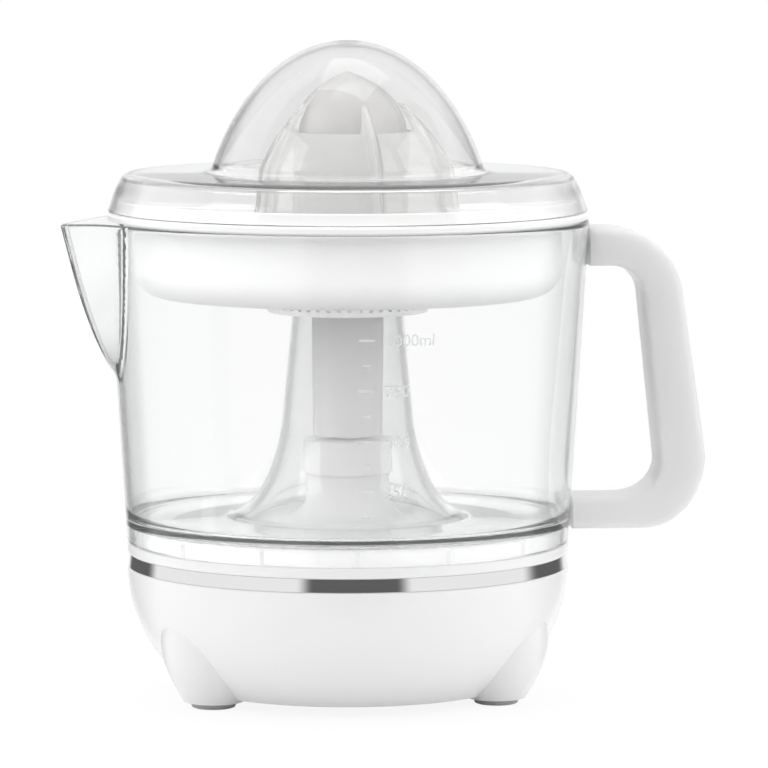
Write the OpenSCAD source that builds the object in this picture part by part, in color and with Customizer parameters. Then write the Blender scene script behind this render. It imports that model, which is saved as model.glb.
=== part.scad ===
// Citrus press: a motor base with a clear jug, a strainer, two nesting reamers and a dust cover.
// Millimetres. +Z is up, the origin is on the drive axis at the level of the table.
// The handle points to +X and the spout to -X.

/* [Base] */
// Radius of the base at its widest, at the chrome ring
base_r = 72.1; // [69:0.1:78]
// Height of the chrome ring's lower edge above the table
base_h = 42.6; // [40:0.1:50]
// Height of the housing's lower edge above the table
ground_gap = 3.3; // [2.8:0.1:5]
// Wall of the base housing
base_wall = 2.2; // [1.6:0.1:3]
// Drop from the widest level of the bowl to where it would close to a point
bowl_drop = 56.8; // [54:0.1:62]
// Height of the chrome ring
ring_h = 4.6; // [3:0.1:8]
// Thickness of the top cover's flange
flange_h = 3.4; // [2.5:0.1:5]
// Height of the locating wall above the flange
locator_h = 5.4; // [4:0.1:6]
// Number of locating ribs around the locating wall
locator_ribs = 14; // [6:1:20]
// Thickness of the bottom cover
bottom_t = 2.2; // [1.6:0.1:3]

/* [Feet] */
// Number of legs
foot_count = 3; // [3:1:4]
// How far the middle of each leg lies outside the housing's lower edge
foot_offset = 0.9; // [-1:0.1:2]
// Radius of a rubber foot
foot_r = 7.2; // [5:0.1:8]
// Height of a rubber foot below its leg
foot_h = 1.8; // [1:0.1:2.4]
// Length of the stem that holds a rubber foot
foot_stem_h = 6; // [3:0.5:9]

/* [Jug] */
// Height of the jug from its skirt to its rim
jug_h = 104.8; // [95:0.1:120]
// Outer radius at the rim
jug_rim_r = 78.7; // [77:0.1:84]
// Wall of the jug
jug_wall = 2; // [1.6:0.1:2.6]
// Height from the skirt to the underside of the floor
jug_floor_up = 6; // [6:0.1:9]
// Outer radius of the chimney at its top
chimney_r = 17.8; // [17.5:0.1:19]
// Height of the chimney's top above the underside of the basket
chimney_rise = 3.3; // [3:0.1:5]
// Radius of the chimney's flared foot
chimney_flare_r = 36; // [33:0.5:42]
// Height over which the chimney's foot flares
chimney_flare_h = 30; // [24:1:36]

/* [Spout] */
// Distance from the axis to the spout's tip, at the rim
spout_reach = 93.6; // [90:0.1:100]
// Half of the spout's width where it leaves the rim
spout_half_w = 28; // [22:0.5:34]
// Height of the spout along the jug's wall
spout_h = 51.7; // [40:0.5:60]

/* [Scale] */
// Distance between two marks of the volume scale
mark_pitch = 16; // [12:0.5:17]
// Number of volume marks
mark_count = 4; // [2:1:4]
// How far the marks stand out of the wall
mark_relief = 0.4; // [0.2:0.05:0.6]

/* [Handle] */
// Distance from the axis to the outside of the grip at its upper end
grip_top_r = 109; // [106:0.5:118]
// Distance from the axis to the outside of the grip at its lower end
grip_low_r = 116.5; // [110:0.5:124]
// Thickness of the grip, seen from the front
grip_t = 14.6; // [12:0.1:18]
// Height of the upper arm
arm_top_h = 12.2; // [10:0.1:15]
// Height of the lower arm
arm_low_h = 10.2; // [8:0.1:13]
// Depth of the handle, front to back
handle_d = 25; // [18:0.5:28]
// Chamfer along the handle's edges
handle_chamfer = 1.7; // [0.5:0.1:2.5]
// Distance from the jug's rim down to the top of the handle
handle_drop = 2.9; // [2:0.1:6]
// Distance from the jug's skirt up to the underside of the handle
handle_rise = 3.6; // [3:0.1:8]
// Length of the tongues that hold the handle
tongue_l = 9; // [6:0.5:10]
// Thickness of the tongues
tongue_t = 4; // [3:0.1:5]

/* [Strainer] */
// How far the flange stays inside the edge of the jug's rim
flange_inset = 0.2; // [0:0.1:1]
// Thickness of the flange
strainer_flange_t = 2.2; // [1.6:0.1:3]
// Height of the rim above the flange, inside the cover
strainer_lip_h = 4; // [2:0.1:6]
// Clearance between the foot of the basket and the jug's wall
basket_gap = 5.4; // [2:0.1:9]
// Depth of the basket below its flange
basket_h = 27; // [22:0.5:30]
// Wall of the strainer
strainer_wall = 2; // [1.4:0.1:2.4]
// Outer radius of the slotted sieve ring
sieve_r = 26.2; // [25.5:0.1:30]
// Depth of the sieve ring below the basket's floor
sieve_h = 5.5; // [4:0.1:7]
// Number of slots in the sieve ring
sieve_slots = 48; // [24:1:60]
// Width of a slot
slot_w = 1.3; // [0.8:0.1:1.6]
// Number of radial slots in the basket's floor
floor_slots = 36; // [12:1:40]
// Length of a slot in the basket's floor
floor_slot_l = 14; // [8:0.5:20]

/* [Reamers] */
// Number of ribs on each reamer
rib_count = 5; // [4:1:6]
// Thickness of a rib
rib_t = 2.6; // [2:0.1:3.5]
// Height of the small reamer's skirt above the strainer's collar
reamer_lift = 3; // [2.5:0.1:5]
// Radius of the small reamer at its ribs
small_r = 19.7; // [18:0.1:21]
// Height of the small reamer's cone
small_h = 63.7; // [60:0.1:66]
// Outer radius of the small reamer's stem
stem_r = 12; // [11:0.1:12.2]
// Wall of both reamers
reamer_wall = 1.8; // [1.4:0.1:2.2]
// Radius of the large reamer at the foot of its ribs
large_r = 38; // [36:0.1:40]
// Height of the large reamer, up to the tips of its ribs
large_h = 54.5; // [50:0.5:56]
// Part of the rib's radius where the skin between the ribs lies
skin_share = 0.82; // [0.78:0.01:0.86]

/* [Dust cover] */
// How far the cover's edge stays inside the strainer's flange
cover_inset = 0.5; // [0:0.1:1.5]
// How far the flat brim ends inside the cover's edge
brim_inset = 7; // [5:0.5:10]
// Height of the cover from its lower edge to the brim
cover_skirt_h = 12.5; // [10:0.1:15]
// Height of the dome above the brim
dome_h = 43; // [42:0.5:48]
// Radius of the dome's ellipse
dome_r = 49; // [47:0.5:52]
// Height of the dome's whole ellipse
dome_ellipse_h = 72.3; // [71:0.5:76]
// Wall of the cover
cover_wall = 1.8; // [1.4:0.1:2.2]
// Radius of the dimple at the dome's apex
dimple_r = 4; // [2:0.5:6]

/* [Drive] */
// Radius of the drive shaft
shaft_r = 4; // [3.5:0.1:4.5]
// Distance across the flats of the shaft's driving end
shaft_flats = 6.4; // [5.6:0.1:6.8]
// Radius of the post that carries the shaft, below its cap
post_r = 13.5; // [12.5:0.1:14]
// Radius of the post's cap
post_cap_r = 14.6; // [14:0.1:15.2]
// Height of the post above the flange
post_h = 33.2; // [28:0.1:36]
// How far the shaft travels when the reamer is pressed
press_travel = 1; // [0.6:0.1:1.6]
// Gear module
gear_m = 1; // [0.95:0.01:1.03]
// Teeth on the output gear
output_teeth = 48; // [46:1:48]
// Teeth on the small idler gear and on the motor pinion
pinion_teeth = 12; // [12:1:13]
// Teeth on the large idler gear
idler_teeth = 36; // [34:1:36]
// Face width of a gear
gear_w = 5; // [4:0.1:5.5]
// Outer radius of the return spring
spring_r = 7.4; // [7:0.1:7.8]
// Wire of the return spring
spring_wire = 0.9; // [0.6:0.1:1.1]
// Turns of the return spring
spring_turns = 7; // [5:0.5:9]

/* [Motor] */
// Distance between the drive axis and the motor's shaft
rotor_x = 24; // [23:0.5:26]
// Length of the motor's laminated core
core_l = 68; // [64:0.5:70]
// Width of the core
core_w = 42; // [40:0.5:44]
// Height of the core's stack
core_h = 12; // [10:0.5:14]
// Width of each leg of the core
core_leg = 12; // [10:0.5:13]
// Radius of the rotor magnet
rotor_r = 10.5; // [9.5:0.1:11]
// Air gap around the rotor
air_gap = 0.7; // [0.5:0.1:1]
// Build-up of a coil around its leg
coil_t = 3.6; // [3:0.1:4]
// Thickness of the gear plate
plate_t = 2; // [1.5:0.1:3]

/* [Fits] */
// Clearance between pieces that lift off each other
seat_gap = 0.3; // [0.2:0.05:0.5]
// Running clearance of a shaft, on the radius
run_gap = 0.05; // [0.02:0.01:0.1]
// Clearance of a piece that slides on another
slide_gap = 0.15; // [0.1:0.05:0.3]

/* [Hidden] */
$fn = 96;
eps = 0.01;

// Levels, from the table up
ring_z = base_h;
flange_z = ring_z + ring_h;
deck_z = flange_z + flange_h;
locator_z = deck_z + locator_h;
jug_z = deck_z + seat_gap;
floor_z = jug_z + jug_floor_up;
rim_z = jug_z + jug_h;
flange_seat_z = rim_z + seat_gap;
basket_z = flange_seat_z + strainer_flange_t - basket_h;
sieve_z = basket_z - sieve_h;
chimney_z = basket_z + chimney_rise;
collar_z = chimney_z + seat_gap + strainer_wall;
post_z = deck_z + post_h;
small_z = collar_z + reamer_lift;
stem_z = post_z + press_travel + seat_gap;
stem_l = small_z - stem_z;
cover_z = flange_seat_z + strainer_flange_t + seat_gap;
brim_z = cover_z + cover_skirt_h;
apex_z = brim_z + dome_h;

// Radii that follow from what a piece fits into
jug_foot_r = base_r;
strainer_r = jug_rim_r - flange_inset;
basket_r = min(jug_rim_r, jug_outer_r(basket_z - jug_z)) - jug_wall - basket_gap;
cover_r = strainer_r - cover_inset;
cover_brim_r = cover_r - brim_inset;
bottom_edge_r = bowl_r(ground_gap);
foot_pcd_r = bottom_edge_r + foot_offset;
locator_r = jug_inner_r(0) - 1.4;
deck_t = 2;
post_wall = 2;
bore_r = post_r - post_wall;
chimney_bore_r = chimney_r - jug_wall;
collar_hole_r = stem_r + 1;
bush_flange_r = shaft_r + 4;

// Levels inside the base, from the bottom cover up
bottom_z = ground_gap + 0.2;
inside_z = bottom_z + bottom_t;
coil_h = core_h + 2 * coil_t + 2;
coil_z = inside_z + 1.2;
core_z = coil_z + coil_t + 1;
plate_z = coil_z + coil_h + 0.6;
level_a = plate_z + plate_t + seat_gap;
level_b = level_a + gear_w + 0.8;
gear_top = level_b + gear_w + 0.6;

// Gear centres
pitch_out = gear_m * output_teeth / 2;
pitch_pin = gear_m * pinion_teeth / 2;
pitch_idl = gear_m * idler_teeth / 2;
backlash = 0.25;
centre_ab = pitch_out + pitch_pin + backlash;
centre_bc = pitch_idl + pitch_pin + backlash;
idler_x = (pow(rotor_x, 2) + pow(centre_ab, 2) - pow(centre_bc, 2)) / (2 * rotor_x);
idler_y = sqrt(pow(centre_ab, 2) - pow(idler_x, 2));
idler_pin_r = 2;
rotor_shaft_r = 1.5;

// Spring and shaft
collar_r = shaft_r + 3;
hub_r = 9;
hub_h = 3;
bush_h = 8;
bush_flange_t = 1.5;
bush_z = post_z - 3 - bush_h;
shaft_end_z = stem_z + 22;
shaft_low_z = level_b - 1.5;
shaft_collar_h = 3;
shaft_collar_z = bush_z - bush_flange_t - seat_gap - shaft_collar_h;
spring_z = gear_top + hub_h;
spring_h = shaft_collar_z - spring_z;

// Turns that bring a tooth of one gear to face a gap of the next
idler_angle = atan2(idler_y, idler_x);
rotor_angle = atan2(-idler_y, rotor_x - idler_x);
output_turn = idler_angle;
idler_small_turn = idler_angle + 180 + 180 / pinion_teeth;
idler_large_turn = rotor_angle;
rotor_turn = rotor_angle + 180 + 180 / pinion_teeth;
pillar_inset = 11.9;
plate_screw_r = bowl_r(plate_z) - pillar_inset;
plate_r = plate_screw_r - 8;
thrust_r = 10.6;

// Motor and switch
bobbin_t = 1;
core_end_x = rotor_x + 14;
coil_x0 = core_end_x - core_l + core_leg + 2;
coil_l = 26;
rotor_low_z = core_z - 1;
rotor_h = core_h + 2;
bracket_z = inside_z;
bracket_t = 1.6;
bracket_l = 16;
clamp_l = 8;
clamp_w = 6;
switch_l = 14;
switch_w = 6;
switch_h = 8;
plunger_r = 1.5;
plunger_top = shaft_low_z - seat_gap;
switch_top = plunger_top - press_travel - 0.6;

// Base housing, its fixings and its openings
foot_phase = 90;
leg_rim = 2.6;
leg_edge = 0.6;
leg_swell = 7.2;
leg_bend = 125;
leg_h = 27.2;
ring_depth = 4;
ring_inset = 0.3;
skirt_t = 2.5;
skirt_h = 3;
locator_phase = 10;
locator_rib_w = 1.6;
locator_rib_out = 0.9;
bush_r = shaft_r + 2.5;
screw_count = 3;
screw_phase = 30;
screw_r = 1.5;
screw_head_r = 3;
cover_head_t = 1.2;
plate_head_t = 1.6;
cover_screw_l = 6;
plate_screw_l = 7;
pillar_r = 4.5;
cover_seat_r = bottom_edge_r - 4;
ledge_r = max(cover_seat_r - 8, norm([rotor_x + bracket_l / 2, core_w / 2]) + seat_gap);
bottom_screw_r = cover_seat_r - slide_gap - screw_head_r - 0.6;
vent_side = 3;
vent_pitch = 7;
vent_w = 2;
vent_l = 28;
inlet_r = 5;
inlet_z = 24;
inlet_turn = 60;

// Spout, from where it leaves the wall to its tip, as radius and height
spout_low = [jug_outer_r(jug_h - spout_h) - 1, rim_z - spout_h];
spout_mid = [spout_reach - 5.6, rim_z - 0.73 * spout_h];
spout_tip = [spout_reach, rim_z - 1];
spout_steps = 10;

// Handle and its tongues
handle_top = rim_z - handle_drop;
handle_low = jug_z + handle_rise;
handle_root_r = min(jug_foot_r, jug_rim_r) - jug_wall - 1;
tongue_w = handle_d - 10;
tongue_top_z = handle_top - arm_top_h / 2 - tongue_t / 2;
tongue_low_z = handle_low + arm_low_h / 2 - tongue_t / 2;

// Strainer, reamers and cover
lip_r = cover_inner_r(strainer_lip_h + strainer_flange_t) - 0.5;
collar_r_in = chimney_r + seat_gap;
small_top_z = small_z + small_h;
large_z = small_z - 1;
large_top_z = large_z + large_h;
opening_z = large_top_z - 9;
rib_phase = -5.5;
dome_mid_z = apex_z - dome_ellipse_h;
brim_join = asin((brim_z - dome_mid_z) / dome_ellipse_h);
inner_join = asin((brim_z - cover_wall - dome_mid_z) / (dome_ellipse_h - cover_wall));

// The bowl of the base is an ellipse turned about the axis
function bowl_r(z, inset = 0) =
    (base_r - inset) * sqrt(max(0, 1 - pow((z - base_h) / (bowl_drop - inset), 2)));

// The jug is a straight cone; u is the height above its skirt
function jug_outer_r(u) = jug_foot_r + (jug_rim_r - jug_foot_r) * u / jug_h;
function jug_inner_r(u) = jug_outer_r(u) - jug_wall;

function arc(cx, cy, r, a0, a1, n) = [for (i = [0:n]) let (a = a0 + (a1 - a0) * i / n)
    [cx + r * cos(a), cy + r * sin(a)]];
function ellipse_arc(rx, rz, cz, a0, a1, n) = [for (i = [0:n]) let (a = a0 + (a1 - a0) * i / n)
    [rx * cos(a), cz + rz * sin(a)]];
function bezier(a, b, c, t) = a * pow(1 - t, 2) + b * 2 * t * (1 - t) + c * pow(t, 2);
function bezier_points(a, b, c, n) = [for (i = [0:n]) bezier(a, b, c, i / n)];

module tube(ro, ri, z0, z1) {
    translate([0, 0, z0])
        difference() {
            cylinder(r = ro, h = z1 - z0);
            translate([0, 0, -1])
                cylinder(r = ri, h = z1 - z0 + 2);
        }
}

module around(n, phase = 0) {
    for (i = [0:n - 1])
        rotate([0, 0, phase + 360 * i / n])
            children();
}

// ---- Base -------------------------------------------------------------------------------

// A leg is a turned, swelling stump whose top is lost inside the bowl
module foot_shape() {
    rotate_extrude()
        polygon(concat([[0, foot_h], [foot_r + leg_rim - leg_edge, foot_h]],
            [for (i = [0:10]) let (u = i / 10)
                [foot_r + leg_rim + leg_swell * sin(leg_bend * u), foot_h + leg_edge + (leg_h - leg_edge) * u]],
            [[0, foot_h + leg_h]]));
}

module bowl(inset, z0) {
    rotate_extrude()
        polygon(concat([[0, z0]],
            [for (i = [0:28]) let (z = z0 + (base_h - z0) * i / 28) [bowl_r(z, inset), z]],
            [[0, base_h]]));
}

module rubber_feet() {
    color("dimgray")
    around(foot_count, foot_phase)
        translate([foot_pcd_r, 0, 0]) {
            rotate_extrude()
                polygon([[0, 0], [foot_r - 0.5, 0], [foot_r, 0.5], [foot_r, foot_h], [0, foot_h]]);
            cylinder(r = 2.5, h = foot_h + foot_stem_h);
        }
}

module base_housing() {
    color("white")
    difference() {
        union() {
            bowl(0, ground_gap);
            around(foot_count, foot_phase)
                translate([foot_pcd_r, 0, 0])
                    foot_shape();
        }
        difference() {
            bowl(base_wall, inside_z + 1.5);
            // Bosses of the rubber feet and of the bottom cover's screws
            around(foot_count, foot_phase)
                translate([foot_pcd_r, 0, 0])
                    cylinder(r = 5, h = foot_h + foot_stem_h + 2);
            around(screw_count, screw_phase)
                translate([bottom_screw_r, 0, 0])
                    cylinder(r = screw_head_r + 0.5, h = bottom_z + cover_screw_l + 1);
            // Pillars that carry the gear plate
            around(screw_count, screw_phase)
                translate([plate_screw_r, 0, 0])
                    cylinder(r = pillar_r, h = plate_z);
        }
        // Recess and opening for the bottom cover
        translate([0, 0, ground_gap - 1])
            cylinder(r = cover_seat_r, h = inside_z - ground_gap + 1);
        translate([0, 0, ground_gap - 1])
            cylinder(r = ledge_r, h = bottom_t + 8);
        translate([0, 0, base_h])
            cylinder(r = base_r + 20, h = 60);
        // Sockets of the rubber feet
        around(foot_count, foot_phase)
            translate([foot_pcd_r, 0, -1])
                cylinder(r = 2.5, h = foot_h + foot_stem_h + 1);
        // Hole of the cable inlet, at the back
        at_inlet()
            cylinder(r = inlet_r, h = 30, center = true);
        at_inlet()
            cylinder(r = inlet_r + 1, h = 20);
        around(screw_count, screw_phase)
            translate([bottom_screw_r, 0, -1])
                cylinder(r = screw_r, h = bottom_z + cover_screw_l + 1.5);
        around(screw_count, screw_phase)
            translate([plate_screw_r, 0, plate_z - plate_screw_l])
                cylinder(r = screw_r, h = plate_screw_l + 1);
    }
}

// The cable inlet's seat: its axis points out of the housing's wall
module at_inlet() {
    rotate([0, 0, inlet_turn])
        translate([bowl_r(inlet_z) - 0.6, 0, inlet_z])
            rotate([0, 90, 0])
                children();
}

module bottom_cover() {
    color("whitesmoke")
    difference() {
        translate([0, 0, bottom_z])
            cylinder(r = cover_seat_r - slide_gap, h = bottom_t);
        around(screw_count, screw_phase)
            translate([bottom_screw_r, 0, 0]) {
                cylinder(r = screw_r + slide_gap, h = 20);
                cylinder(r = screw_head_r + slide_gap, h = bottom_z + cover_head_t);
            }
        // Ventilation slots under the motor
        for (i = [-vent_side:vent_side])
            translate([vent_pitch * i - vent_w / 2, -vent_l / 2, bottom_z - 1])
                cube([vent_w, vent_l, bottom_t + 2]);
    }
}

module chrome_ring() {
    color("silver")
    rotate_extrude()
        polygon([[base_r - ring_depth, ring_z], [base_r - ring_inset, ring_z], [base_r - ring_inset, flange_z],
            [base_r - ring_depth, flange_z]]);
}

module top_cover() {
    color("white")
    difference() {
        union() {
            rotate_extrude()
                polygon(concat([[0, deck_z - deck_t]],
                    [[locator_r - 2, deck_z - deck_t], [locator_r - 2, flange_z],
                    [base_r - 0.6, flange_z], [base_r, flange_z + 0.6], [base_r, deck_z - 0.8],
                    [base_r - 0.8, deck_z], [locator_r, deck_z], [locator_r, locator_z - 1],
                    [locator_r - 1, locator_z], [post_r + 6, locator_z],
                    [post_r + 1.5, locator_z + 2], [post_r, locator_z + 6],
                    [post_r, post_z - 12], [post_cap_r, post_z - 10.8],
                    [post_cap_r, post_z - 0.8], [post_cap_r - 0.8, post_z], [0, post_z]]));
            // Skirt that locates the chrome ring and the housing
            tube(base_r - ring_depth - slide_gap, base_r - ring_depth - skirt_t, ring_z - skirt_h, flange_z + 0.1);
            around(locator_ribs, locator_phase)
                translate([locator_r - 1, -locator_rib_w / 2, deck_z - 0.5])
                    cube([1 + locator_rib_out, locator_rib_w, locator_h - 1]);
        }
        // Hollow under the deck and inside the post
        rotate_extrude()
            polygon([[0, deck_z - deck_t - 1], [locator_r - 2, deck_z - deck_t - 1],
                [locator_r - 2, locator_z - deck_t], [bore_r, locator_z - deck_t],
                [bore_r, bush_z], [0, bush_z]]);
        translate([0, 0, bush_z - 1])
            cylinder(r = bush_r, h = bush_h + 20);
    }
}

module shaft_bush() {
    color("goldenrod")
    difference() {
        union() {
            translate([0, 0, bush_z])
                cylinder(r = bush_r, h = bush_h);
            translate([0, 0, bush_z - bush_flange_t])
                cylinder(r = bush_flange_r, h = bush_flange_t);
        }
        translate([0, 0, bush_z - 2])
            cylinder(r = shaft_r + run_gap, h = bush_h + 4);
    }
}

module shaft_seal() {
    color("dimgray")
    rotate_extrude()
        polygon([[shaft_r + run_gap, bush_z + bush_h], [bush_r, bush_z + bush_h],
            [bush_r, post_z], [shaft_r + 1.6, post_z], [shaft_r + run_gap, post_z - 1.2]]);
}

// ---- Drive ------------------------------------------------------------------------------

// One gear blank with its teeth, thinned for backlash; its bore is cut by the node it is part of
module gear(teeth, w) {
    pitch = gear_m * teeth / 2;
    half = 90 / teeth;
    thin = 0.12 / pitch * 57.3;
    linear_extrude(w) {
        circle(r = pitch - 1.25 * gear_m);
        for (i = [0:teeth - 1])
            rotate(360 * i / teeth)
                polygon([
                    polar(pitch - 1.6 * gear_m, -half * 1.55),
                    polar(pitch - 0.4 * gear_m, -half * 1.16 + thin),
                    polar(pitch + 0.2 * gear_m, -half * 0.86 + thin),
                    polar(pitch + 0.9 * gear_m, -half * 0.40 + thin / 2),
                    polar(pitch + 0.9 * gear_m, half * 0.40 - thin / 2),
                    polar(pitch + 0.2 * gear_m, half * 0.86 - thin),
                    polar(pitch - 0.4 * gear_m, half * 1.16 - thin),
                    polar(pitch - 1.6 * gear_m, half * 1.55)]);
    }
}
function polar(r, a) = [r * cos(a), r * sin(a)];

module output_gear() {
    color("ivory")
    difference() {
        union() {
            translate([0, 0, level_b])
                rotate(output_turn)
                    gear(output_teeth, gear_w);
            translate([0, 0, level_b + gear_w - eps])
                cylinder(r = hub_r, h = spring_z - level_b - gear_w + eps);
        }
        translate([0, 0, level_b - 1])
            intersection() {
                cylinder(r = shaft_r + run_gap, h = 30);
                flats(shaft_flats + 2 * run_gap, 30);
            }
    }
}

// Two flats milled on a shaft
module flats(across, h) {
    translate([-across / 2, -20, 0])
        cube([across, 40, h]);
}

module drive_shaft() {
    color("silver")
    difference() {
        union() {
            intersection() {
                translate([0, 0, shaft_low_z])
                    cylinder(r = shaft_r, h = shaft_end_z - shaft_low_z);
                union() {
                    translate([0, 0, shaft_low_z])
                        flats(shaft_flats, shaft_collar_z - shaft_low_z);
                    translate([0, 0, shaft_collar_z])
                        cylinder(r = shaft_r, h = post_z + 1 - shaft_collar_z);
                    translate([0, 0, post_z + 1])
                        flats(shaft_flats, shaft_end_z - post_z);
                }
            }
            translate([0, 0, shaft_collar_z])
                cylinder(r = collar_r, h = shaft_collar_h);
        }
    }
}

module return_spring() {
    coil_r = spring_r - spring_wire / 2;
    steps = 14;
    rings = floor(spring_turns * steps);
    sides = 8;
    rise = spring_h - spring_wire - 0.2;
    points = [for (i = [0:rings]) let (a = 360 * i / steps, z = spring_z + 0.1 + spring_wire / 2 + rise * i / rings)
        for (j = [0:sides - 1]) let (b = 360 * j / sides, r = coil_r + spring_wire / 2 * cos(b))
            [r * cos(a), r * sin(a), z + spring_wire / 2 * sin(b)]];
    sides_faces = [for (i = [0:rings - 1]) for (j = [0:sides - 1]) let (k = (j + 1) % sides)
        [i * sides + j, i * sides + k, (i + 1) * sides + k, (i + 1) * sides + j]];
    color("silver")
    polyhedron(points, concat(
        [[for (j = [sides - 1:-1:0]) j]], sides_faces, [[for (j = [0:sides - 1]) rings * sides + j]]));
}

module idler_gear() {
    color("ivory")
    translate([idler_x, idler_y, 0])
        difference() {
            union() {
                translate([0, 0, level_a])
                    rotate(idler_large_turn)
                        gear(idler_teeth, gear_w);
                translate([0, 0, level_a + gear_w / 2])
                    cylinder(r = pitch_pin - 1.6 * gear_m, h = level_b - level_a);
                translate([0, 0, level_b])
                    rotate(idler_small_turn)
                        gear(pinion_teeth, gear_w);
            }
            cylinder(r = idler_pin_r + run_gap, h = 100);
        }
}

module idler_pin() {
    color("silver")
    translate([idler_x, idler_y, plate_z]) {
        cylinder(r = idler_pin_r, h = level_b + gear_w - plate_z + 1.4);
        translate([0, 0, level_b + gear_w - plate_z + seat_gap])
            cylinder(r = idler_pin_r + 1, h = 1);
    }
}

module gear_plate() {
    color("lightgray")
    difference() {
        union() {
            translate([0, 0, plate_z])
                cylinder(r = plate_r, h = plate_t);
            // Boss of the rotor's upper bearing
            translate([rotor_x, 0, plate_z - 2])
                cylinder(r = 5, h = plate_t + 2);
            // Thrust ring under the output gear
            tube(thrust_r, thrust_r - 2, plate_z, level_b - seat_gap);
            // Posts that clamp the motor's core
            core_clamps(core_z + core_h, plate_z + 1);
            // Ears that reach the housing's pillars
            around(screw_count, screw_phase)
                translate([plate_screw_r, 0, 0])
                    translate([-12, -5, plate_z])
                        cube([12 + 5, 10, plate_t]);
        }
        translate([rotor_x, 0, 0])
            cylinder(r = rotor_shaft_r + run_gap, h = 60);
        translate([idler_x, idler_y, 0])
            cylinder(r = idler_pin_r, h = 60);
        // Window that holds the switch
        translate([-switch_l / 2 - slide_gap, -switch_w / 2 - slide_gap, plate_z - 1])
            cube([switch_l + 2 * slide_gap, switch_w + 2 * slide_gap, plate_t + 2]);
        around(screw_count, screw_phase)
            translate([plate_screw_r, 0, 0])
                cylinder(r = screw_r, h = 60);
    }
}

// ---- Motor ------------------------------------------------------------------------------

module motor_core() {
    color("slategray")
    difference() {
        translate([core_end_x - core_l, -core_w / 2, core_z])
            cube([core_l, core_w, core_h]);
        // Window between the legs
        translate([core_end_x - core_l + core_leg, -(core_w / 2 - core_leg), core_z - 1])
            cube([core_l - core_leg + 1, core_w - 2 * core_leg, core_h + 2]);
        translate([rotor_x, 0, core_z - 1])
            cylinder(r = rotor_r + air_gap, h = core_h + 2);
    }
}

module leg_sleeve(x0, l, inner, outer) {
    for (s = [-1, 1])
        translate([x0, s * (core_w - core_leg) / 2, core_z + core_h / 2])
            difference() {
                translate([0, -core_leg / 2 - outer, -core_h / 2 - outer])
                    cube([l, core_leg + 2 * outer, core_h + 2 * outer]);
                translate([-1, -core_leg / 2 - inner, -core_h / 2 - inner])
                    cube([l + 2, core_leg + 2 * inner, core_h + 2 * inner]);
            }
}

module coil_bobbins() {
    color("ivory") {
        leg_sleeve(coil_x0, coil_l, 0, bobbin_t);
        leg_sleeve(coil_x0, bobbin_t, 0, coil_t);
        leg_sleeve(coil_x0 + coil_l - bobbin_t, bobbin_t, 0, coil_t);
    }
}

module windings() {
    color("peru")
    leg_sleeve(coil_x0 + bobbin_t, coil_l - 2 * bobbin_t, bobbin_t, coil_t - 0.4);
}

module rotor_magnet() {
    color("dimgray")
    translate([rotor_x, 0, rotor_low_z])
        difference() {
            cylinder(r = rotor_r, h = rotor_h);
            translate([0, 0, -1])
                cylinder(r = rotor_shaft_r, h = rotor_h + 2);
        }
}

module rotor_shaft() {
    color("silver")
    translate([rotor_x, 0, 0]) {
        translate([0, 0, bracket_z + 1 + run_gap])
            cylinder(r = rotor_shaft_r, h = level_a + gear_w + 0.4 - bracket_z - 1 - run_gap);
        translate([0, 0, level_a])
            rotate(rotor_turn)
                gear(pinion_teeth, gear_w);
    }
}

// Two posts that hold the core between the bracket and the gear plate
module core_clamps(z0, z1) {
    for (s = [-1, 1])
        translate([rotor_x - clamp_l / 2, s * (core_w - clamp_w) / 2 - clamp_w / 2, z0])
            cube([clamp_l, clamp_w, z1 - z0]);
}

module lower_bracket() {
    color("lightgray")
    difference() {
        union() {
            translate([rotor_x - bracket_l / 2, -core_w / 2, bracket_z])
                cube([bracket_l, core_w, bracket_t]);
            core_clamps(bracket_z, core_z);
            translate([rotor_x, 0, bracket_z])
                cylinder(r = rotor_shaft_r + 2.5, h = 3);
        }
        translate([rotor_x, 0, bracket_z + 1])
            cylinder(r = rotor_shaft_r + run_gap, h = 10);
    }
}

// ---- Switch and fixings -----------------------------------------------------------------

module switch_body() {
    color("black")
    difference() {
        translate([-switch_l / 2, -switch_w / 2, switch_top - switch_h])
            cube([switch_l, switch_w, switch_h]);
        translate([0, 0, switch_top - 6])
            cylinder(r = plunger_r + run_gap, h = 10);
    }
}

module switch_plunger() {
    color("red")
    translate([0, 0, switch_top - 3])
        cylinder(r = plunger_r, h = plunger_top - switch_top + 3);
}

module cover_screws() {
    color("silver")
    around(screw_count, screw_phase)
        translate([bottom_screw_r, 0, bottom_z])
            difference() {
                union() {
                    cylinder(r = screw_head_r, h = cover_head_t);
                    cylinder(r = screw_r, h = cover_screw_l);
                }
                driver_slot(-1);
            }
}

module plate_screws() {
    color("silver")
    around(screw_count, screw_phase)
        translate([plate_screw_r, 0, plate_z + plate_t])
            difference() {
                union() {
                    cylinder(r = screw_head_r, h = plate_head_t);
                    translate([0, 0, -plate_screw_l])
                        cylinder(r = screw_r, h = plate_screw_l + 0.5);
                }
                driver_slot(plate_head_t - 0.6);
            }
}

module driver_slot(z) {
    translate([-2, -0.3, z])
        cube([4, 0.6, 1.6]);
}

module cable_inlet() {
    color("dimgray")
    at_inlet()
        difference() {
            union() {
                translate([0, 0, -4])
                    cylinder(r = inlet_r, h = 5);
                cylinder(r = inlet_r + 1, h = 1.6);
            }
            cylinder(r = 3, h = 20, center = true);
        }
}

// ---- Jug --------------------------------------------------------------------------------

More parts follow.
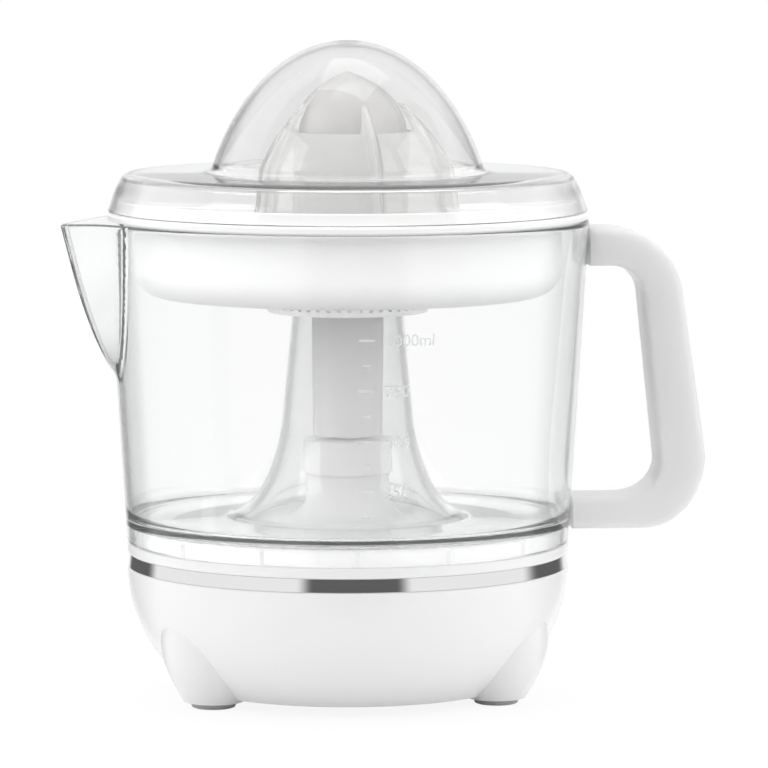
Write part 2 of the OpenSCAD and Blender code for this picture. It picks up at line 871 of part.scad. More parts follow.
// One level of the beak: a wedge with slightly hollow sides and a round nose
function beak_ring(t, inset) = let (
    p = bezier(spout_low, spout_mid, spout_tip, t),
    w = max(0.4, spout_half_w * pow(t, 0.42) - inset * 1.2),
    tip = p[0] - inset * 1.35,
    root = jug_outer_r(jug_h - 1) * 0.8,
    nose = 2.2,
    flank = bezier_points([-root, w * 1.15], [-(root + tip) / 2 - 2, w * 0.56], [-tip + nose, min(nose, w)], 7))
    concat([for (q = flank) [q[0], q[1], p[1]]],
        [for (a = [60, 20, -20, -60]) [-tip + nose - nose * cos(a), min(nose, w) * sin(a), p[1]]],
        [for (i = [7:-1:0]) [flank[i][0], -flank[i][1], p[1]]]);

module beak(inset, over) {
    rings = [for (i = [0:spout_steps]) beak_ring(i / spout_steps, inset)];
    top = [for (q = rings[spout_steps]) [q[0], q[1], q[2] + over]];
    all = concat(rings, [top]);
    n = len(top);
    m = len(all);
    points = [for (ring = all) for (q = ring) q];
    walls = [for (i = [0:m - 2]) for (j = [0:n - 1]) let (k = (j + 1) % n)
        each [[i * n + j, (i + 1) * n + j, (i + 1) * n + k], [i * n + j, (i + 1) * n + k, i * n + k]]];
    polyhedron(points, concat([[for (j = [0:n - 1]) j]], walls,
        [[for (j = [n - 1:-1:0]) (m - 1) * n + j]]));
}

chimney_profile = concat(
    [[chimney_flare_r, floor_z + jug_wall]],
    [for (p = bezier_points([chimney_flare_r - 3, floor_z + jug_wall + 0.6],
        [chimney_r + 7, floor_z + jug_wall + 4], [chimney_r + 3.8, floor_z + chimney_flare_h], 8)) p],
    [[chimney_r, sieve_z - 2], [chimney_r, chimney_z]]);

module jug() {
    color("gainsboro", 0.4)
    difference() {
        union() {
            difference() {
                union() {
                    rotate_extrude()
                        polygon([[0, jug_z], [jug_foot_r, jug_z],
                            [jug_outer_r(jug_h + 2), rim_z + 2], [0, rim_z + 2]]);
                    beak(0, 3);
                }
                // One flat cut makes the rim of the wall and of the spout
                translate([0, 0, rim_z])
                    cylinder(r = spout_reach + 10, h = 10);
                // Inside, above the floor
                rotate_extrude()
                    polygon([[0, floor_z + jug_wall], [jug_inner_r(jug_floor_up + jug_wall) - 3, floor_z + jug_wall],
                        [jug_inner_r(jug_floor_up + jug_wall), floor_z + jug_wall + 3],
                        [jug_inner_r(jug_h + 5), rim_z + 5], [0, rim_z + 5]]);
                translate([0, 0, jug_wall / 2])
                    beak(jug_wall, 4);
            }
            rotate_extrude()
                polygon(concat([[0, floor_z], [chimney_flare_r, floor_z]], chimney_profile, [[0, chimney_z]]));
            // Tongues that carry the handle
            tongue(tongue_top_z, 0);
            tongue(tongue_low_z, 0);
            scale_marks();
        }
        // Recess under the floor, over the locating wall
        rotate_extrude()
            polygon([[0, jug_z - 1], [jug_inner_r(0), jug_z - 1], [jug_inner_r(jug_floor_up), floor_z],
                [chimney_flare_r - 1, floor_z], [chimney_bore_r + 7, floor_z + 4],
                [chimney_bore_r + 3.4, floor_z + chimney_flare_h / 2 + 1],
                [chimney_bore_r + 1.2, floor_z + chimney_flare_h + 8],
                [chimney_bore_r, chimney_z - 4], [chimney_bore_r, chimney_z + 1], [0, chimney_z + 1]]);
        // Inside of the wall, so that the tongues and marks stay outside
        rotate_extrude()
            polygon([[chimney_flare_r + 4, floor_z + jug_wall],
                [jug_inner_r(jug_floor_up + jug_wall) - 3, floor_z + jug_wall],
                [jug_inner_r(jug_floor_up + jug_wall), floor_z + jug_wall + 3],
                [jug_inner_r(jug_h), rim_z + 1], [chimney_flare_r + 4, rim_z + 1]]);
    }
}

// One tongue of the handle's mount, rooted in the jug's wall, or the socket over it
module tongue(z, gap) {
    root = jug_outer_r(z - jug_z) - jug_wall / 2 - 4 * gap;
    translate([root, -tongue_w / 2 - gap, z - gap])
        cube([tongue_l + jug_wall / 2 + 5 * gap, tongue_w + 2 * gap, tongue_t + 2 * gap]);
}

// Bars of the volume scale, raised on the front of the wall: long at each mark, short between
module scale_marks() {
    for (i = [1:mark_count]) {
        scale_bar(floor_z + jug_wall + mark_pitch * i, 4.5);
        scale_bar(floor_z + jug_wall + mark_pitch * (i - 0.5), 2.5);
    }
}

module scale_bar(z, half_deg) {
    translate([0, 0, z])
        rotate([0, 0, -90 - half_deg])
            rotate_extrude(angle = 2 * half_deg)
                translate([jug_outer_r(z - jug_z) - 0.5, 0])
                    square([0.5 + mark_relief, 0.8]);
}

// ---- Handle -----------------------------------------------------------------------------

function corner(cx, cy, rx, ry, a0, a1, n) = [for (i = [0:n]) let (a = a0 + (a1 - a0) * i / n)
    [cx + rx * cos(a), cy + ry * sin(a)]];

// Outline of the handle in the X-Z plane, moved in by d all round
module handle_outline(d) {
    top = handle_top - d;
    low = handle_low + d;
    r1 = grip_top_r - d;
    r2 = grip_low_r - d;
    polygon(concat([[handle_root_r, top]],
        corner(r1 - 24, top - 24, 24, 24, 90, 5, 10),
        corner(r2 - 20, low + 24, 20, 24, 0, -90, 10),
        [[handle_root_r, low]]));
}

module handle_window(d) {
    top = handle_top - arm_top_h + d;
    low = handle_low + arm_low_h - d;
    r1 = grip_top_r - grip_t + 1.8 + d;
    r2 = grip_low_r - grip_t + d;
    polygon(concat([[handle_root_r - 3, top]],
        corner(r1 - 11, top - 11, 11, 11, 90, 5, 8),
        corner(r2 - 13, low + 11, 13, 11, 0, -90, 8),
        [[handle_root_r - 3, low]]));
}

module handle_slab(y0, y1, inset) {
    translate([0, y1, 0])
        rotate([90, 0, 0])
            linear_extrude(y1 - y0)
                difference() {
                    handle_outline(inset);
                    handle_window(inset);
                }
}

module handle() {
    color("white", 0.7)
    difference() {
        union() {
            handle_slab(-handle_d / 2 + handle_chamfer, handle_d / 2 - handle_chamfer, 0);
            for (s = [-1, 1])
                handle_slab(s > 0 ? handle_d / 2 - handle_chamfer - eps : -handle_d / 2,
                    s > 0 ? handle_d / 2 : -handle_d / 2 + handle_chamfer + eps, handle_chamfer * 0.6);
        }
        // The end faces follow the jug's wall
        rotate_extrude()
            polygon([[0, jug_z - 20], [jug_outer_r(-20) + slide_gap, jug_z - 20],
                [jug_outer_r(jug_h + 20) + slide_gap, rim_z + 20], [0, rim_z + 20]]);
        // Sockets over the jug's tongues
        tongue(tongue_top_z, slide_gap);
        tongue(tongue_low_z, slide_gap);
    }
}

// ---- Strainer ---------------------------------------------------------------------------

module strainer() {
    flange_top = flange_seat_z + strainer_flange_t;
    lip_top = flange_top + strainer_lip_h;
    color("white")
    difference() {
        rotate_extrude()
            polygon(concat(
                [[collar_hole_r, collar_z - strainer_wall], [collar_hole_r, collar_z],
                [collar_r_in + strainer_wall - 0.6, collar_z], [collar_r_in + strainer_wall, collar_z - 0.6],
                [collar_r_in + strainer_wall, sieve_z + 1.6], [sieve_r - strainer_wall, sieve_z + 1.6],
                [sieve_r - strainer_wall, basket_z + strainer_wall]],
                arc(basket_r - strainer_wall - 7, basket_z + strainer_wall + 7, 7, -90, 0, 8),
                [[basket_r - strainer_wall, flange_top], [lip_r - 2.6, flange_top],
                [lip_r - 1.8, lip_top], [lip_r, lip_top], [lip_r, flange_top],
                [strainer_r, flange_top], [strainer_r, flange_seat_z], [basket_r, flange_seat_z]],
                arc(basket_r - 9, basket_z + 9, 9, 0, -90, 8),
                [[sieve_r, basket_z], [sieve_r, sieve_z], [collar_r_in, sieve_z],
                [collar_r_in, collar_z - strainer_wall]]));
        around(sieve_slots)
            translate([sieve_r - strainer_wall - 1, -slot_w / 2, sieve_z + 1.6])
                cube([strainer_wall + 2, slot_w, sieve_h - 2]);
        around(floor_slots)
            translate([sieve_r + 3, -slot_w / 2, basket_z - 1])
                cube([floor_slot_l, slot_w, strainer_wall + 2]);
    }
}

// ---- Reamers ----------------------------------------------------------------------------

// Profiles of the ribs' outer edge, as radius and height shares from tip to foot
small_edge = bezier_points([2.6, small_top_z], [small_r - 0.2, small_top_z - 4], [small_r, small_top_z - 22], 10);
large_edge = bezier_points([small_r - 2, large_top_z], [large_r - 3.5, large_top_z - 18], [large_r, large_z + 6], 10);

module small_solid(share, drop) {
    rotate_extrude()
        polygon(concat([[0, small_z - 1], [small_r * share, small_z - 1]],
            [for (i = [10:-1:0]) [small_edge[i][0] * share, small_edge[i][1] - drop]],
            [[0, small_top_z - drop - 0.4]]));
}

module rib(edge, foot_z, inner) {
    translate([0, rib_t / 2, 0])
        rotate([90, 0, 0])
            linear_extrude(rib_t)
                polygon(concat([[inner, foot_z]], [[edge[10][0], foot_z]],
                    [for (i = [10:-1:0]) edge[i]], [[inner, edge[0][1]]]));
}

module reamer_small() {
    color("silver", 0.7)
    difference() {
        union() {
            small_solid(skin_share, 1.6);
            around(rib_count, rib_phase)
                rib(small_edge, small_z, 0.5);
            translate([0, 0, small_z - 1.5])
                cylinder(r = small_r, h = 1.5 + eps);
            translate([0, 0, stem_z])
                cylinder(r1 = stem_r - 0.7, r2 = stem_r, h = stem_l);
        }
        // The hollow, open at the bottom of the stem
        translate([0, 0, stem_z - 1])
            cylinder(r = stem_r - 0.7 - reamer_wall, h = 4);
        translate([0, 0, shaft_end_z + 3])
            cylinder(r = stem_r - 0.7 - reamer_wall, h = small_top_z - shaft_end_z - 14);
        // Socket of the drive shaft
        translate([0, 0, stem_z - 1])
            intersection() {
                cylinder(r = shaft_r + slide_gap, h = shaft_end_z - stem_z + 1 + seat_gap);
                flats(shaft_flats + 2 * slide_gap, 60);
            }
    }
}

module large_skin(share, inset) {
    rotate_extrude()
        polygon(concat([[0, large_z - 1], [large_r * share - inset, large_z - 1],
            [large_r * share - inset, large_z + 6]],
            [for (i = [9:-1:0]) [large_edge[i][0] * share - inset, large_edge[i][1]]],
            [[0, large_top_z]]));
}

// Room for the small reamer inside the large one
module nest(gap) {
    rotate_extrude()
        polygon(concat([[0, large_z - 3], [small_r + gap, large_z - 3]],
            [for (i = [10:-1:0]) [small_edge[i][0] + gap, small_edge[i][1] + gap]],
            [[0, small_top_z + gap]]));
}

module reamer_large() {
    color("gainsboro", 0.5)
    difference() {
        union() {
            difference() {
                large_skin(skin_share, 0);
                translate([0, 0, opening_z])
                    cylinder(r = 60, h = 60);
            }
            around(rib_count, rib_phase)
                rib(large_edge, large_z, small_r / 2);
            translate([0, 0, large_z])
                cylinder(r = large_r, h = 2);
        }
        // Hollow under the skin, open below
        translate([0, 0, -reamer_wall])
            large_skin(skin_share, reamer_wall);
        nest(seat_gap);
    }
}

// ---- Dust cover -------------------------------------------------------------------------

// Inner radius of the cover's skirt at height u above its lower edge
function cover_inner_r(u) = cover_r - cover_wall - (cover_r - cover_brim_r - 2.4) * pow(u / cover_skirt_h, 2);

module dust_cover() {
    n = 6;
    side = [for (i = [0:n]) let (u = (cover_skirt_h - 4) * i / n) [cover_inner_r(u) + cover_wall, cover_z + u]];
    inner = [for (i = [n:-1:0]) let (u = (cover_skirt_h - 4) * i / n) [cover_inner_r(u), cover_z + u]];
    color("gainsboro", 0.4)
    difference() {
        rotate_extrude()
            polygon(concat(side,
                bezier_points([side[n][0] - 0.4, brim_z - 2.6], [side[n][0] - 1.2, brim_z],
                    [cover_brim_r - 1, brim_z], 5),
                ellipse_arc(dome_r, dome_ellipse_h, dome_mid_z, brim_join, 90, 28),
                [[0, apex_z - cover_wall]],
                ellipse_arc(dome_r - cover_wall, dome_ellipse_h - cover_wall, dome_mid_z, 90, inner_join, 28),
                [[cover_brim_r - 2, brim_z - cover_wall]],
                inner));
        translate([0, 0, apex_z + dimple_r * 1.6])
            sphere(r = dimple_r * 1.6 + 0.5);
    }
}

rubber_feet();
base_housing();
bottom_cover();
chrome_ring();
top_cover();
shaft_bush();
shaft_seal();
drive_shaft();
return_spring();
output_gear();
idler_gear();
idler_pin();
gear_plate();
motor_core();
coil_bobbins();
windings();
rotor_magnet();
rotor_shaft();
lower_bracket();
switch_body();
switch_plunger();
cover_screws();
plate_screws();
cable_inlet();
jug();
handle();
strainer();
reamer_small();
reamer_large();
dust_cover();
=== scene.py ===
"""Electric citrus press: finishes and detailed surfaces around the fixed CAD frame.

The outer pieces are rebuilt as smooth, wall-thick meshes that take their levels and radii
from the frame, and the pieces inside the base keep their CAD solids and get real finishes.
"""

import logging
import math
from dataclasses import dataclass, field
from enum import Enum
from typing import Callable, Optional

import bmesh
import bpy
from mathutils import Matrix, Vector

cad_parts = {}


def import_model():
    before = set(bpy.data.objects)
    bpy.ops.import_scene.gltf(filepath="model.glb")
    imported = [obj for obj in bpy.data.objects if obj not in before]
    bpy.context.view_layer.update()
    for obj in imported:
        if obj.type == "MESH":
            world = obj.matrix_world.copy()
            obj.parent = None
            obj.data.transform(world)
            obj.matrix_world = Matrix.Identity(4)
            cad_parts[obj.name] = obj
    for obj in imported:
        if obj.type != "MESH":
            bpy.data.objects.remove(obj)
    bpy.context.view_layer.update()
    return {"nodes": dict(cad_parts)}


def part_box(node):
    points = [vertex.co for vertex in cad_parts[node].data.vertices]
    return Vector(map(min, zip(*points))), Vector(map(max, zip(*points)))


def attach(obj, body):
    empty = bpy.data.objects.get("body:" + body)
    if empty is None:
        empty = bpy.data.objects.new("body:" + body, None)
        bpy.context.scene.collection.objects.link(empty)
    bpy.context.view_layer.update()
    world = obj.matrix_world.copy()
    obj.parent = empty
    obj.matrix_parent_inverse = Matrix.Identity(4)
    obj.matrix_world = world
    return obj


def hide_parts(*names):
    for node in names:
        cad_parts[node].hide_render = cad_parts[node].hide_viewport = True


log = logging.getLogger("citrus_press")

MM = 0.001
TURN = 2.0 * math.pi
WHITE = (1.0, 1.0, 1.0, 1.0)
Point = tuple[float, float]
Profile = list[Point]
RadiusRule = Callable[[float, float, float], float]
Ring = list[bmesh.types.BMVert]


# ---- Small tools for shapes --------------------------------------------------------------


def bezier(a: Point, b: Point, c: Point, steps: int) -> Profile:
    """Points along a quadratic curve.

    Args:
        a: Start.
        b: Control point.
        c: End.
        steps: Number of stretches.

    Returns:
        The points, both ends included.
    """
    points = []
    for i in range(steps + 1):
        t = i / steps
        u = 1.0 - t
        points.append((a[0] * u * u + 2 * b[0] * u * t + c[0] * t * t,
                       a[1] * u * u + 2 * b[1] * u * t + c[1] * t * t))
    return points


def arc(centre: Point, radii: Point, start: float, end: float, steps: int) -> Profile:
    """Points along an elliptical arc.

    Args:
        centre: Middle of the ellipse.
        radii: Its two half-axes.
        start: First angle in degrees.
        end: Last angle in degrees.
        steps: Number of stretches.

    Returns:
        The points, both ends included.
    """
    points = []
    for i in range(steps + 1):
        a = math.radians(start + (end - start) * i / steps)
        points.append((centre[0] + radii[0] * math.cos(a), centre[1] + radii[1] * math.sin(a)))
    return points


def between(a: Point, b: Point, share: float) -> Point:
    """The point some share of the way from one point to another."""
    return (a[0] + (b[0] - a[0]) * share, a[1] + (b[1] - a[1]) * share)


def smooth_line(points: Profile, steps: int) -> Profile:
    """Evenly spread points along a smooth line through the given ones.

    Args:
        points: Points that the line passes through.
        steps: Number of stretches of the result.

    Returns:
        The points, both ends included.
    """
    dense: Profile = []
    for i in range(len(points) - 1):
        p0, p1 = points[max(i - 1, 0)], points[i]
        p2, p3 = points[i + 1], points[min(i + 2, len(points) - 1)]
        for j in range(12):
            t = j / 12
            dense.append(tuple(0.5 * (2 * b + (c - a) * t + (2 * a - 5 * b + 4 * c - d) * t * t
                                      + (3 * b - 3 * c + d - a) * t ** 3)
                               for a, b, c, d in zip(p0, p1, p2, p3)))
    dense.append(points[-1])
    lengths = [0.0]
    for p, q in zip(dense, dense[1:]):
        lengths.append(lengths[-1] + math.dist(p, q))
    out: Profile = []
    k = 0
    for i in range(steps + 1):
        want = lengths[-1] * i / steps
        while k < len(lengths) - 2 and lengths[k + 1] < want:
            k += 1
        part = (want - lengths[k]) / (lengths[k + 1] - lengths[k])
        out.append(between(dense[k], dense[k + 1], part))
    return out


def rounded(corners: Profile, radius: float, steps: int = 4) -> Profile:
    """A closed outline with each corner rounded.

    Args:
        corners: The outline's corners.
        radius: Corner radius, cut down where a side is short.
        steps: Stretches along each corner.

    Returns:
        The rounded outline.
    """
    out: Profile = []
    count = len(corners)
    for i, here in enumerate(corners):
        before = Vector(corners[i - 1]) - Vector(here)
        after = Vector(corners[(i + 1) % count]) - Vector(here)
        reach = min(radius, before.length * 0.45, after.length * 0.45)
        start = Vector(here) + before.normalized() * reach
        end = Vector(here) + after.normalized() * reach
        out.extend(bezier(tuple(start), here, tuple(end), steps))
    return out


def off_rib(a: float, ribs: int, first: float) -> float:
    """How far an angle is from the nearest of some evenly spaced ribs.

    Args:
        a: Angle about the axis, in radians.
        ribs: Number of ribs.
        first: Angle of one of them, in degrees.

    Returns:
        The distance in radians.
    """
    step = TURN / ribs
    return abs((a - math.radians(first) + step / 2) % step - step / 2)


def smoothstep(low: float, high: float, x: float) -> float:
    """Smooth rise from 0 to 1.

    Args:
        low: Where the rise starts.
        high: Where it ends.
        x: Where it is asked for.

    Returns:
        A value from 0 to 1.
    """
    t = min(1.0, max(0.0, (x - low) / (high - low)))
    return t * t * (3.0 - 2.0 * t)


def soft_max(a: float, b: float, width: float) -> float:
    """The larger of two lengths, with a fillet where they cross.

    Args:
        a: First length.
        b: Second length.
        width: About how wide the fillet is.

    Returns:
        The blended length.
    """
    h = max(width - abs(a - b), 0.0) / width
    return max(a, b) + h * h * width * 0.25


def finish_mesh(bm: bmesh.types.BMesh, name: str, sharp: float = 35.0) -> bpy.types.Object:
    """Turns a bmesh into a smooth-shaded object with outward faces.

    Args:
        bm: The mesh, in millimetres; it is freed.
        name: Name of the new object.
        sharp: Edges bent by more than this many degrees stay crisp.

    Returns:
        The new object, in metres.
    """
    bmesh.ops.remove_doubles(bm, verts=bm.verts, dist=1e-4)
    bmesh.ops.recalc_face_normals(bm, faces=bm.faces)
    if bm.calc_volume(signed=True) < 0.0:
        bmesh.ops.reverse_faces(bm, faces=bm.faces)
    bmesh.ops.scale(bm, vec=(MM, MM, MM), verts=bm.verts)
    mesh = bpy.data.meshes.new(name)
    bm.to_mesh(mesh)
    bm.free()
    mesh.polygons.foreach_set("use_smooth", [True] * len(mesh.polygons))
    mesh.set_sharp_from_angle(angle=math.radians(sharp))
    piece = bpy.data.objects.new(name, mesh)
    bpy.context.scene.collection.objects.link(piece)
    return piece


def add_ring(bm: bmesh.types.BMesh, r: float, z: float, angles: list[float],
             rule: Optional[RadiusRule] = None) -> Ring:
    """Adds the points of one level of a turned body.

    Args:
        bm: Mesh to add to, in millimetres.
        r: Radius; 0 gives a single point on the axis.
        z: Height.
        angles: Angles of the points, in radians.
        rule: Optional function of radius, height and angle that gives the real radius.

    Returns:
        The points, in order round the axis.
    """
    if r < 1e-6:
        return [bm.verts.new((0.0, 0.0, z))]
    ring = []
    for a in angles:
        real = rule(r, z, a) if rule else r
        ring.append(bm.verts.new((real * math.cos(a), real * math.sin(a), z)))
    return ring


def add_skin(bm: bmesh.types.BMesh, rings: list[Ring], closed: bool) -> None:
    """Adds the faces between neighbouring rings.

    A ring of one point gets a fan, and two single points in a row are left open along the axis.

    Args:
        bm: Mesh that holds the rings.
        rings: The rings, all with the same number of points, apart from single points.
        closed: Whether the last ring joins the first.
    """
    pairs = list(zip(rings, rings[1:])) + ([(rings[-1], rings[0])] if closed else [])
    for low, high in pairs:
        count = max(len(low), len(high))
        for k in range(count if count > 1 else 0):
            n = (k + 1) % count
            if len(low) == 1:
                bm.faces.new((low[0], high[n], high[k]))
            elif len(high) == 1:
                bm.faces.new((low[k], low[n], high[0]))
            else:
                bm.faces.new((low[k], low[n], high[n], high[k]))


def even_angles(segments: int) -> list[float]:
    """Angles of a number of even steps round the axis, in radians."""
    return [TURN * k / segments for k in range(segments)]


def add_turned(bm: bmesh.types.BMesh, profile: Profile, closed: bool, segments: int = 192,
               rule: Optional[RadiusRule] = None) -> None:
    """Adds a turned body to a bmesh.

    Args:
        bm: Mesh to add to, in millimetres.
        profile: Radius and height of each point; an open profile starts and ends on the axis.
        closed: Whether the last point joins the first.
        segments: Number of steps around the axis.
        rule: Optional function of radius, height and angle that gives the real radius.
    """
    angles = even_angles(segments)
    add_skin(bm, [add_ring(bm, r, z, angles, rule) for r, z in profile], closed)


def turned(name: str, profile: Profile, segments: int = 192, rule: Optional[RadiusRule] = None,
           sharp: float = 35.0) -> bpy.types.Object:
    """Makes one turned piece from a closed profile.

    Args:
        name: Name of the piece.
        profile: Radius and height of each point, in millimetres.
        segments: Number of steps around the axis.
        rule: Optional function of radius, height and angle that gives the real radius.
        sharp: Edges bent by more than this many degrees stay crisp.

    Returns:
        The new object.
    """
    bm = bmesh.new()
    add_turned(bm, profile, True, segments, rule)
    return finish_mesh(bm, name, sharp)


def add_box(bm: bmesh.types.BMesh, low: Vector, high: Vector, turn: float = 0.0) -> None:
    """Adds a box to a bmesh, turned about the drive axis.

    Args:
        bm: Mesh to add to, in millimetres.
        low: Lowest corner before the turn.
        high: Highest corner before the turn.
        turn: Angle about Z, in radians.
    """
    corners = []
    for z in (low.z, high.z):
        for x, y in ((low.x, low.y), (high.x, low.y), (high.x, high.y), (low.x, high.y)):
            corners.append(bm.verts.new((x * math.cos(turn) - y * math.sin(turn),
                                         x * math.sin(turn) + y * math.cos(turn), z)))
    for ids in ((3, 2, 1, 0), (4, 5, 6, 7), (0, 1, 5, 4), (1, 2, 6, 5), (2, 3, 7, 6), (3, 0, 4, 7)):
        bm.faces.new([corners[i] for i in ids])


class Joining(Enum):
    """What a tool does to the object that it meets."""

    ADD = "UNION"
    CUT = "DIFFERENCE"


def combine(target: bpy.types.Object, tool: bpy.types.Object, how: Joining) -> bpy.types.Object:
    """Applies a boolean and deletes the tool.

    Args:
        target: Object that is changed.
        tool: Object that is joined to it or cut from it.
        how: Which of the two.

    Returns:
        The changed object.
    """
    modifier = target.modifiers.new("join", "BOOLEAN")
    modifier.operation = how.value
    modifier.solver = "EXACT"
    modifier.object = tool
    bpy.context.view_layer.update()
    depsgraph = bpy.context.evaluated_depsgraph_get()
    mesh = bpy.data.meshes.new_from_object(target.evaluated_get(depsgraph))
    target.modifiers.clear()
    target.data = mesh
    bpy.data.objects.remove(tool)
    mesh.polygons.foreach_set("use_smooth", [True] * len(mesh.polygons))
    mesh.set_sharp_from_angle(angle=math.radians(35.0))
    return target


# ---- Finishes ----------------------------------------------------------------------------


def linear(code: str) -> tuple[float, float, float, float]:
    """Turns an sRGB hex colour into a linear one.

    Args:
        code: The colour, as in "#F1F1F1".

    Returns:
        Linear red, green, blue and alpha.
    """
    parts = [int(code.lstrip("#")[i:i + 2], 16) / 255.0 for i in (0, 2, 4)]
    channels = [c / 12.92 if c <= 0.04045 else ((c + 0.055) / 1.055) ** 2.4 for c in parts]
    return (channels[0], channels[1], channels[2], 1.0)


def put(tree: bpy.types.NodeTree, kind: str, settings: Optional[dict] = None,
        inputs: Optional[dict] = None) -> bpy.types.Node:
    """Adds one shader node.

    Args:
        tree: Node tree to add to.
        kind: Blender's node type.
        settings: Properties to set on the node.
        inputs: Input name or number to a value, or to a socket that is linked in.

    Returns:
        The new node.
    """
    made = tree.nodes.new(kind)
    for key, value in (settings or {}).items():
        setattr(made, key, value)
    for key, value in (inputs or {}).items():
        if isinstance(value, bpy.types.NodeSocket):
            tree.links.new(value, made.inputs[key])
        else:
            made.inputs[key].default_value = value
    return made


def bare_material(name: str) -> bpy.types.Material:
    """Makes a material with an empty node tree.

    Args:
        name: Name of the material.

    Returns:
        The material.
    """
    material = bpy.data.materials.new(name)
    material.use_nodes = True
    material.node_tree.nodes.clear()
    return material


@dataclass(frozen=True)
class MouldedPlastic:
    """Opaque injection-moulded plastic, with the faint orange peel that a steel mould leaves."""

    # Real orange peel is finer than 1 mm; it is drawn coarser so that it shows at all.
    name: str
    colour: str
    roughness: float = 0.25
    ior: float = 1.53
    peel_mm: float = 1.6
    peel_height: float = 0.02
    wear_mm: float = 25.0
    soak: float = 0.0
    soak_mm: float = 3.0

    def build(self) -> bpy.types.Material:
        """Makes the node material.

        Returns:
            The material.
        """
        material = bare_material(self.name)
        tree = material.node_tree
        place = put(tree, "ShaderNodeTexCoord")
        peel = put(tree, "ShaderNodeTexNoise", {},
                   {"Vector": place.outputs["Object"], "Scale": 1.0 / (self.peel_mm * MM), "Detail": 2.0})
        bump = put(tree, "ShaderNodeBump", {},
                   {"Strength": self.peel_height, "Distance": 0.0004, "Height": peel.outputs["Fac"]})
        wear = put(tree, "ShaderNodeTexNoise", {},
                   {"Vector": place.outputs["Object"], "Scale": 1.0 / (self.wear_mm * MM)})
        spread = put(tree, "ShaderNodeMapRange", {},
                     {"Value": wear.outputs["Fac"], "To Min": self.roughness * 0.85,
                      "To Max": self.roughness * 1.15})
        surface = put(tree, "ShaderNodeBsdfPrincipled", {},
                      {"Base Color": linear(self.colour), "Roughness": spread.outputs["Result"],
                       "IOR": self.ior, "Normal": bump.outputs["Normal"],
                       "Subsurface Weight": self.soak,
                       "Subsurface Radius": (self.soak_mm * MM,) * 3})
        put(tree, "ShaderNodeOutputMaterial", {}, {"Surface": surface.outputs["BSDF"]})
        return material


@dataclass(frozen=True)
class ClearStyrene:
    """Clear moulded SAN, whose tint follows how closely the eye grazes the wall."""

    name: str
    tints: tuple[tuple[float, str], ...]
    milk: float = 0.0
    roughness: float = 0.015
    ior: float = 1.57
    ripple_mm: float = 16.6667
    ripple_height: float = 0.02
    lamp_tint: str = "#FEFEFE"

    def build(self) -> bpy.types.Material:
        """Makes the node material; lamps shine through it, as they do through the real wall.

        Returns:
            The material.
        """
        material = bare_material(self.name)
        tree = material.node_tree
        place = put(tree, "ShaderNodeTexCoord")
        ripple = put(tree, "ShaderNodeTexNoise", {},
                     {"Vector": place.outputs["Object"], "Scale": 1.0 / (self.ripple_mm * MM),
                      "Detail": 1.0})
        bump = put(tree, "ShaderNodeBump", {},
                   {"Strength": self.ripple_height, "Distance": 0.0006, "Height": ripple.outputs["Fac"]})
        graze = put(tree, "ShaderNodeLayerWeight", {}, {"Blend": 0.5})
        tint = put(tree, "ShaderNodeValToRGB", {}, {"Fac": graze.outputs["Facing"]})
        stops = tint.color_ramp.elements
        while len(stops) < len(self.tints):
            stops.new(0.5)
        for stop, (position, colour) in zip(stops, self.tints):
            stop.position = position
            stop.color = linear(colour)
        surface = put(tree, "ShaderNodeBsdfPrincipled", {},
                      {"Base Color": tint.outputs["Color"], "Roughness": self.roughness,
                       "IOR": self.ior, "Transmission Weight": 1.0 - self.milk,
                       "Normal": bump.outputs["Normal"]})
        ray = put(tree, "ShaderNodeLightPath")
        lamp = put(tree, "ShaderNodeBsdfTransparent", {}, {"Color": linear(self.lamp_tint)})
        mixed = put(tree, "ShaderNodeMixShader", {},
                    {0: ray.outputs["Is Shadow Ray"], 1: surface.outputs["BSDF"], 2: lamp.outputs["BSDF"]})
        put(tree, "ShaderNodeOutputMaterial", {}, {"Surface": mixed.outputs["Shader"]})
        return material


@dataclass(frozen=True)
class FrostedPolypropylene:
    """Milky translucent plastic: light soaks in and the moulding glows softly."""

    # The spark-eroded grain is finer than 0.1 mm; it is drawn about 1 mm so that it shows.
    name: str
    colour: str
    roughness: float = 0.32
    passing: float = 0.2
    glow: float = 0.8
    depth_mm: float = 12.0
    grain_mm: float = 1.1111
    grain_height: float = 0.03
    lamp_tint: str = "#C8C8C8"

    def build(self) -> bpy.types.Material:
        """Makes the node material.

        Returns:
            The material.
        """
        material = bare_material(self.name)
        tree = material.node_tree
        place = put(tree, "ShaderNodeTexCoord")
        grain = put(tree, "ShaderNodeTexNoise", {},
                    {"Vector": place.outputs["Object"], "Scale": 1.0 / (self.grain_mm * MM),
                     "Detail": 2.0})
        bump = put(tree, "ShaderNodeBump", {},
                   {"Strength": self.grain_height, "Distance": 0.0003, "Height": grain.outputs["Fac"]})
        surface = put(tree, "ShaderNodeBsdfPrincipled", {},
                      {"Base Color": linear(self.colour), "Roughness": self.roughness, "IOR": 1.49,
                       "Transmission Weight": self.passing, "Subsurface Weight": self.glow,
                       "Subsurface Radius": (self.depth_mm * MM,) * 3, "Subsurface Scale": 1.0,
                       "Normal": bump.outputs["Normal"]})
        ray = put(tree, "ShaderNodeLightPath")
        lamp = put(tree, "ShaderNodeBsdfTransparent", {}, {"Color": linear(self.lamp_tint)})
        mixed = put(tree, "ShaderNodeMixShader", {},
                    {0: ray.outputs["Is Shadow Ray"], 1: surface.outputs["BSDF"], 2: lamp.outputs["BSDF"]})
        put(tree, "ShaderNodeOutputMaterial", {}, {"Surface": mixed.outputs["Shader"]})
        return material


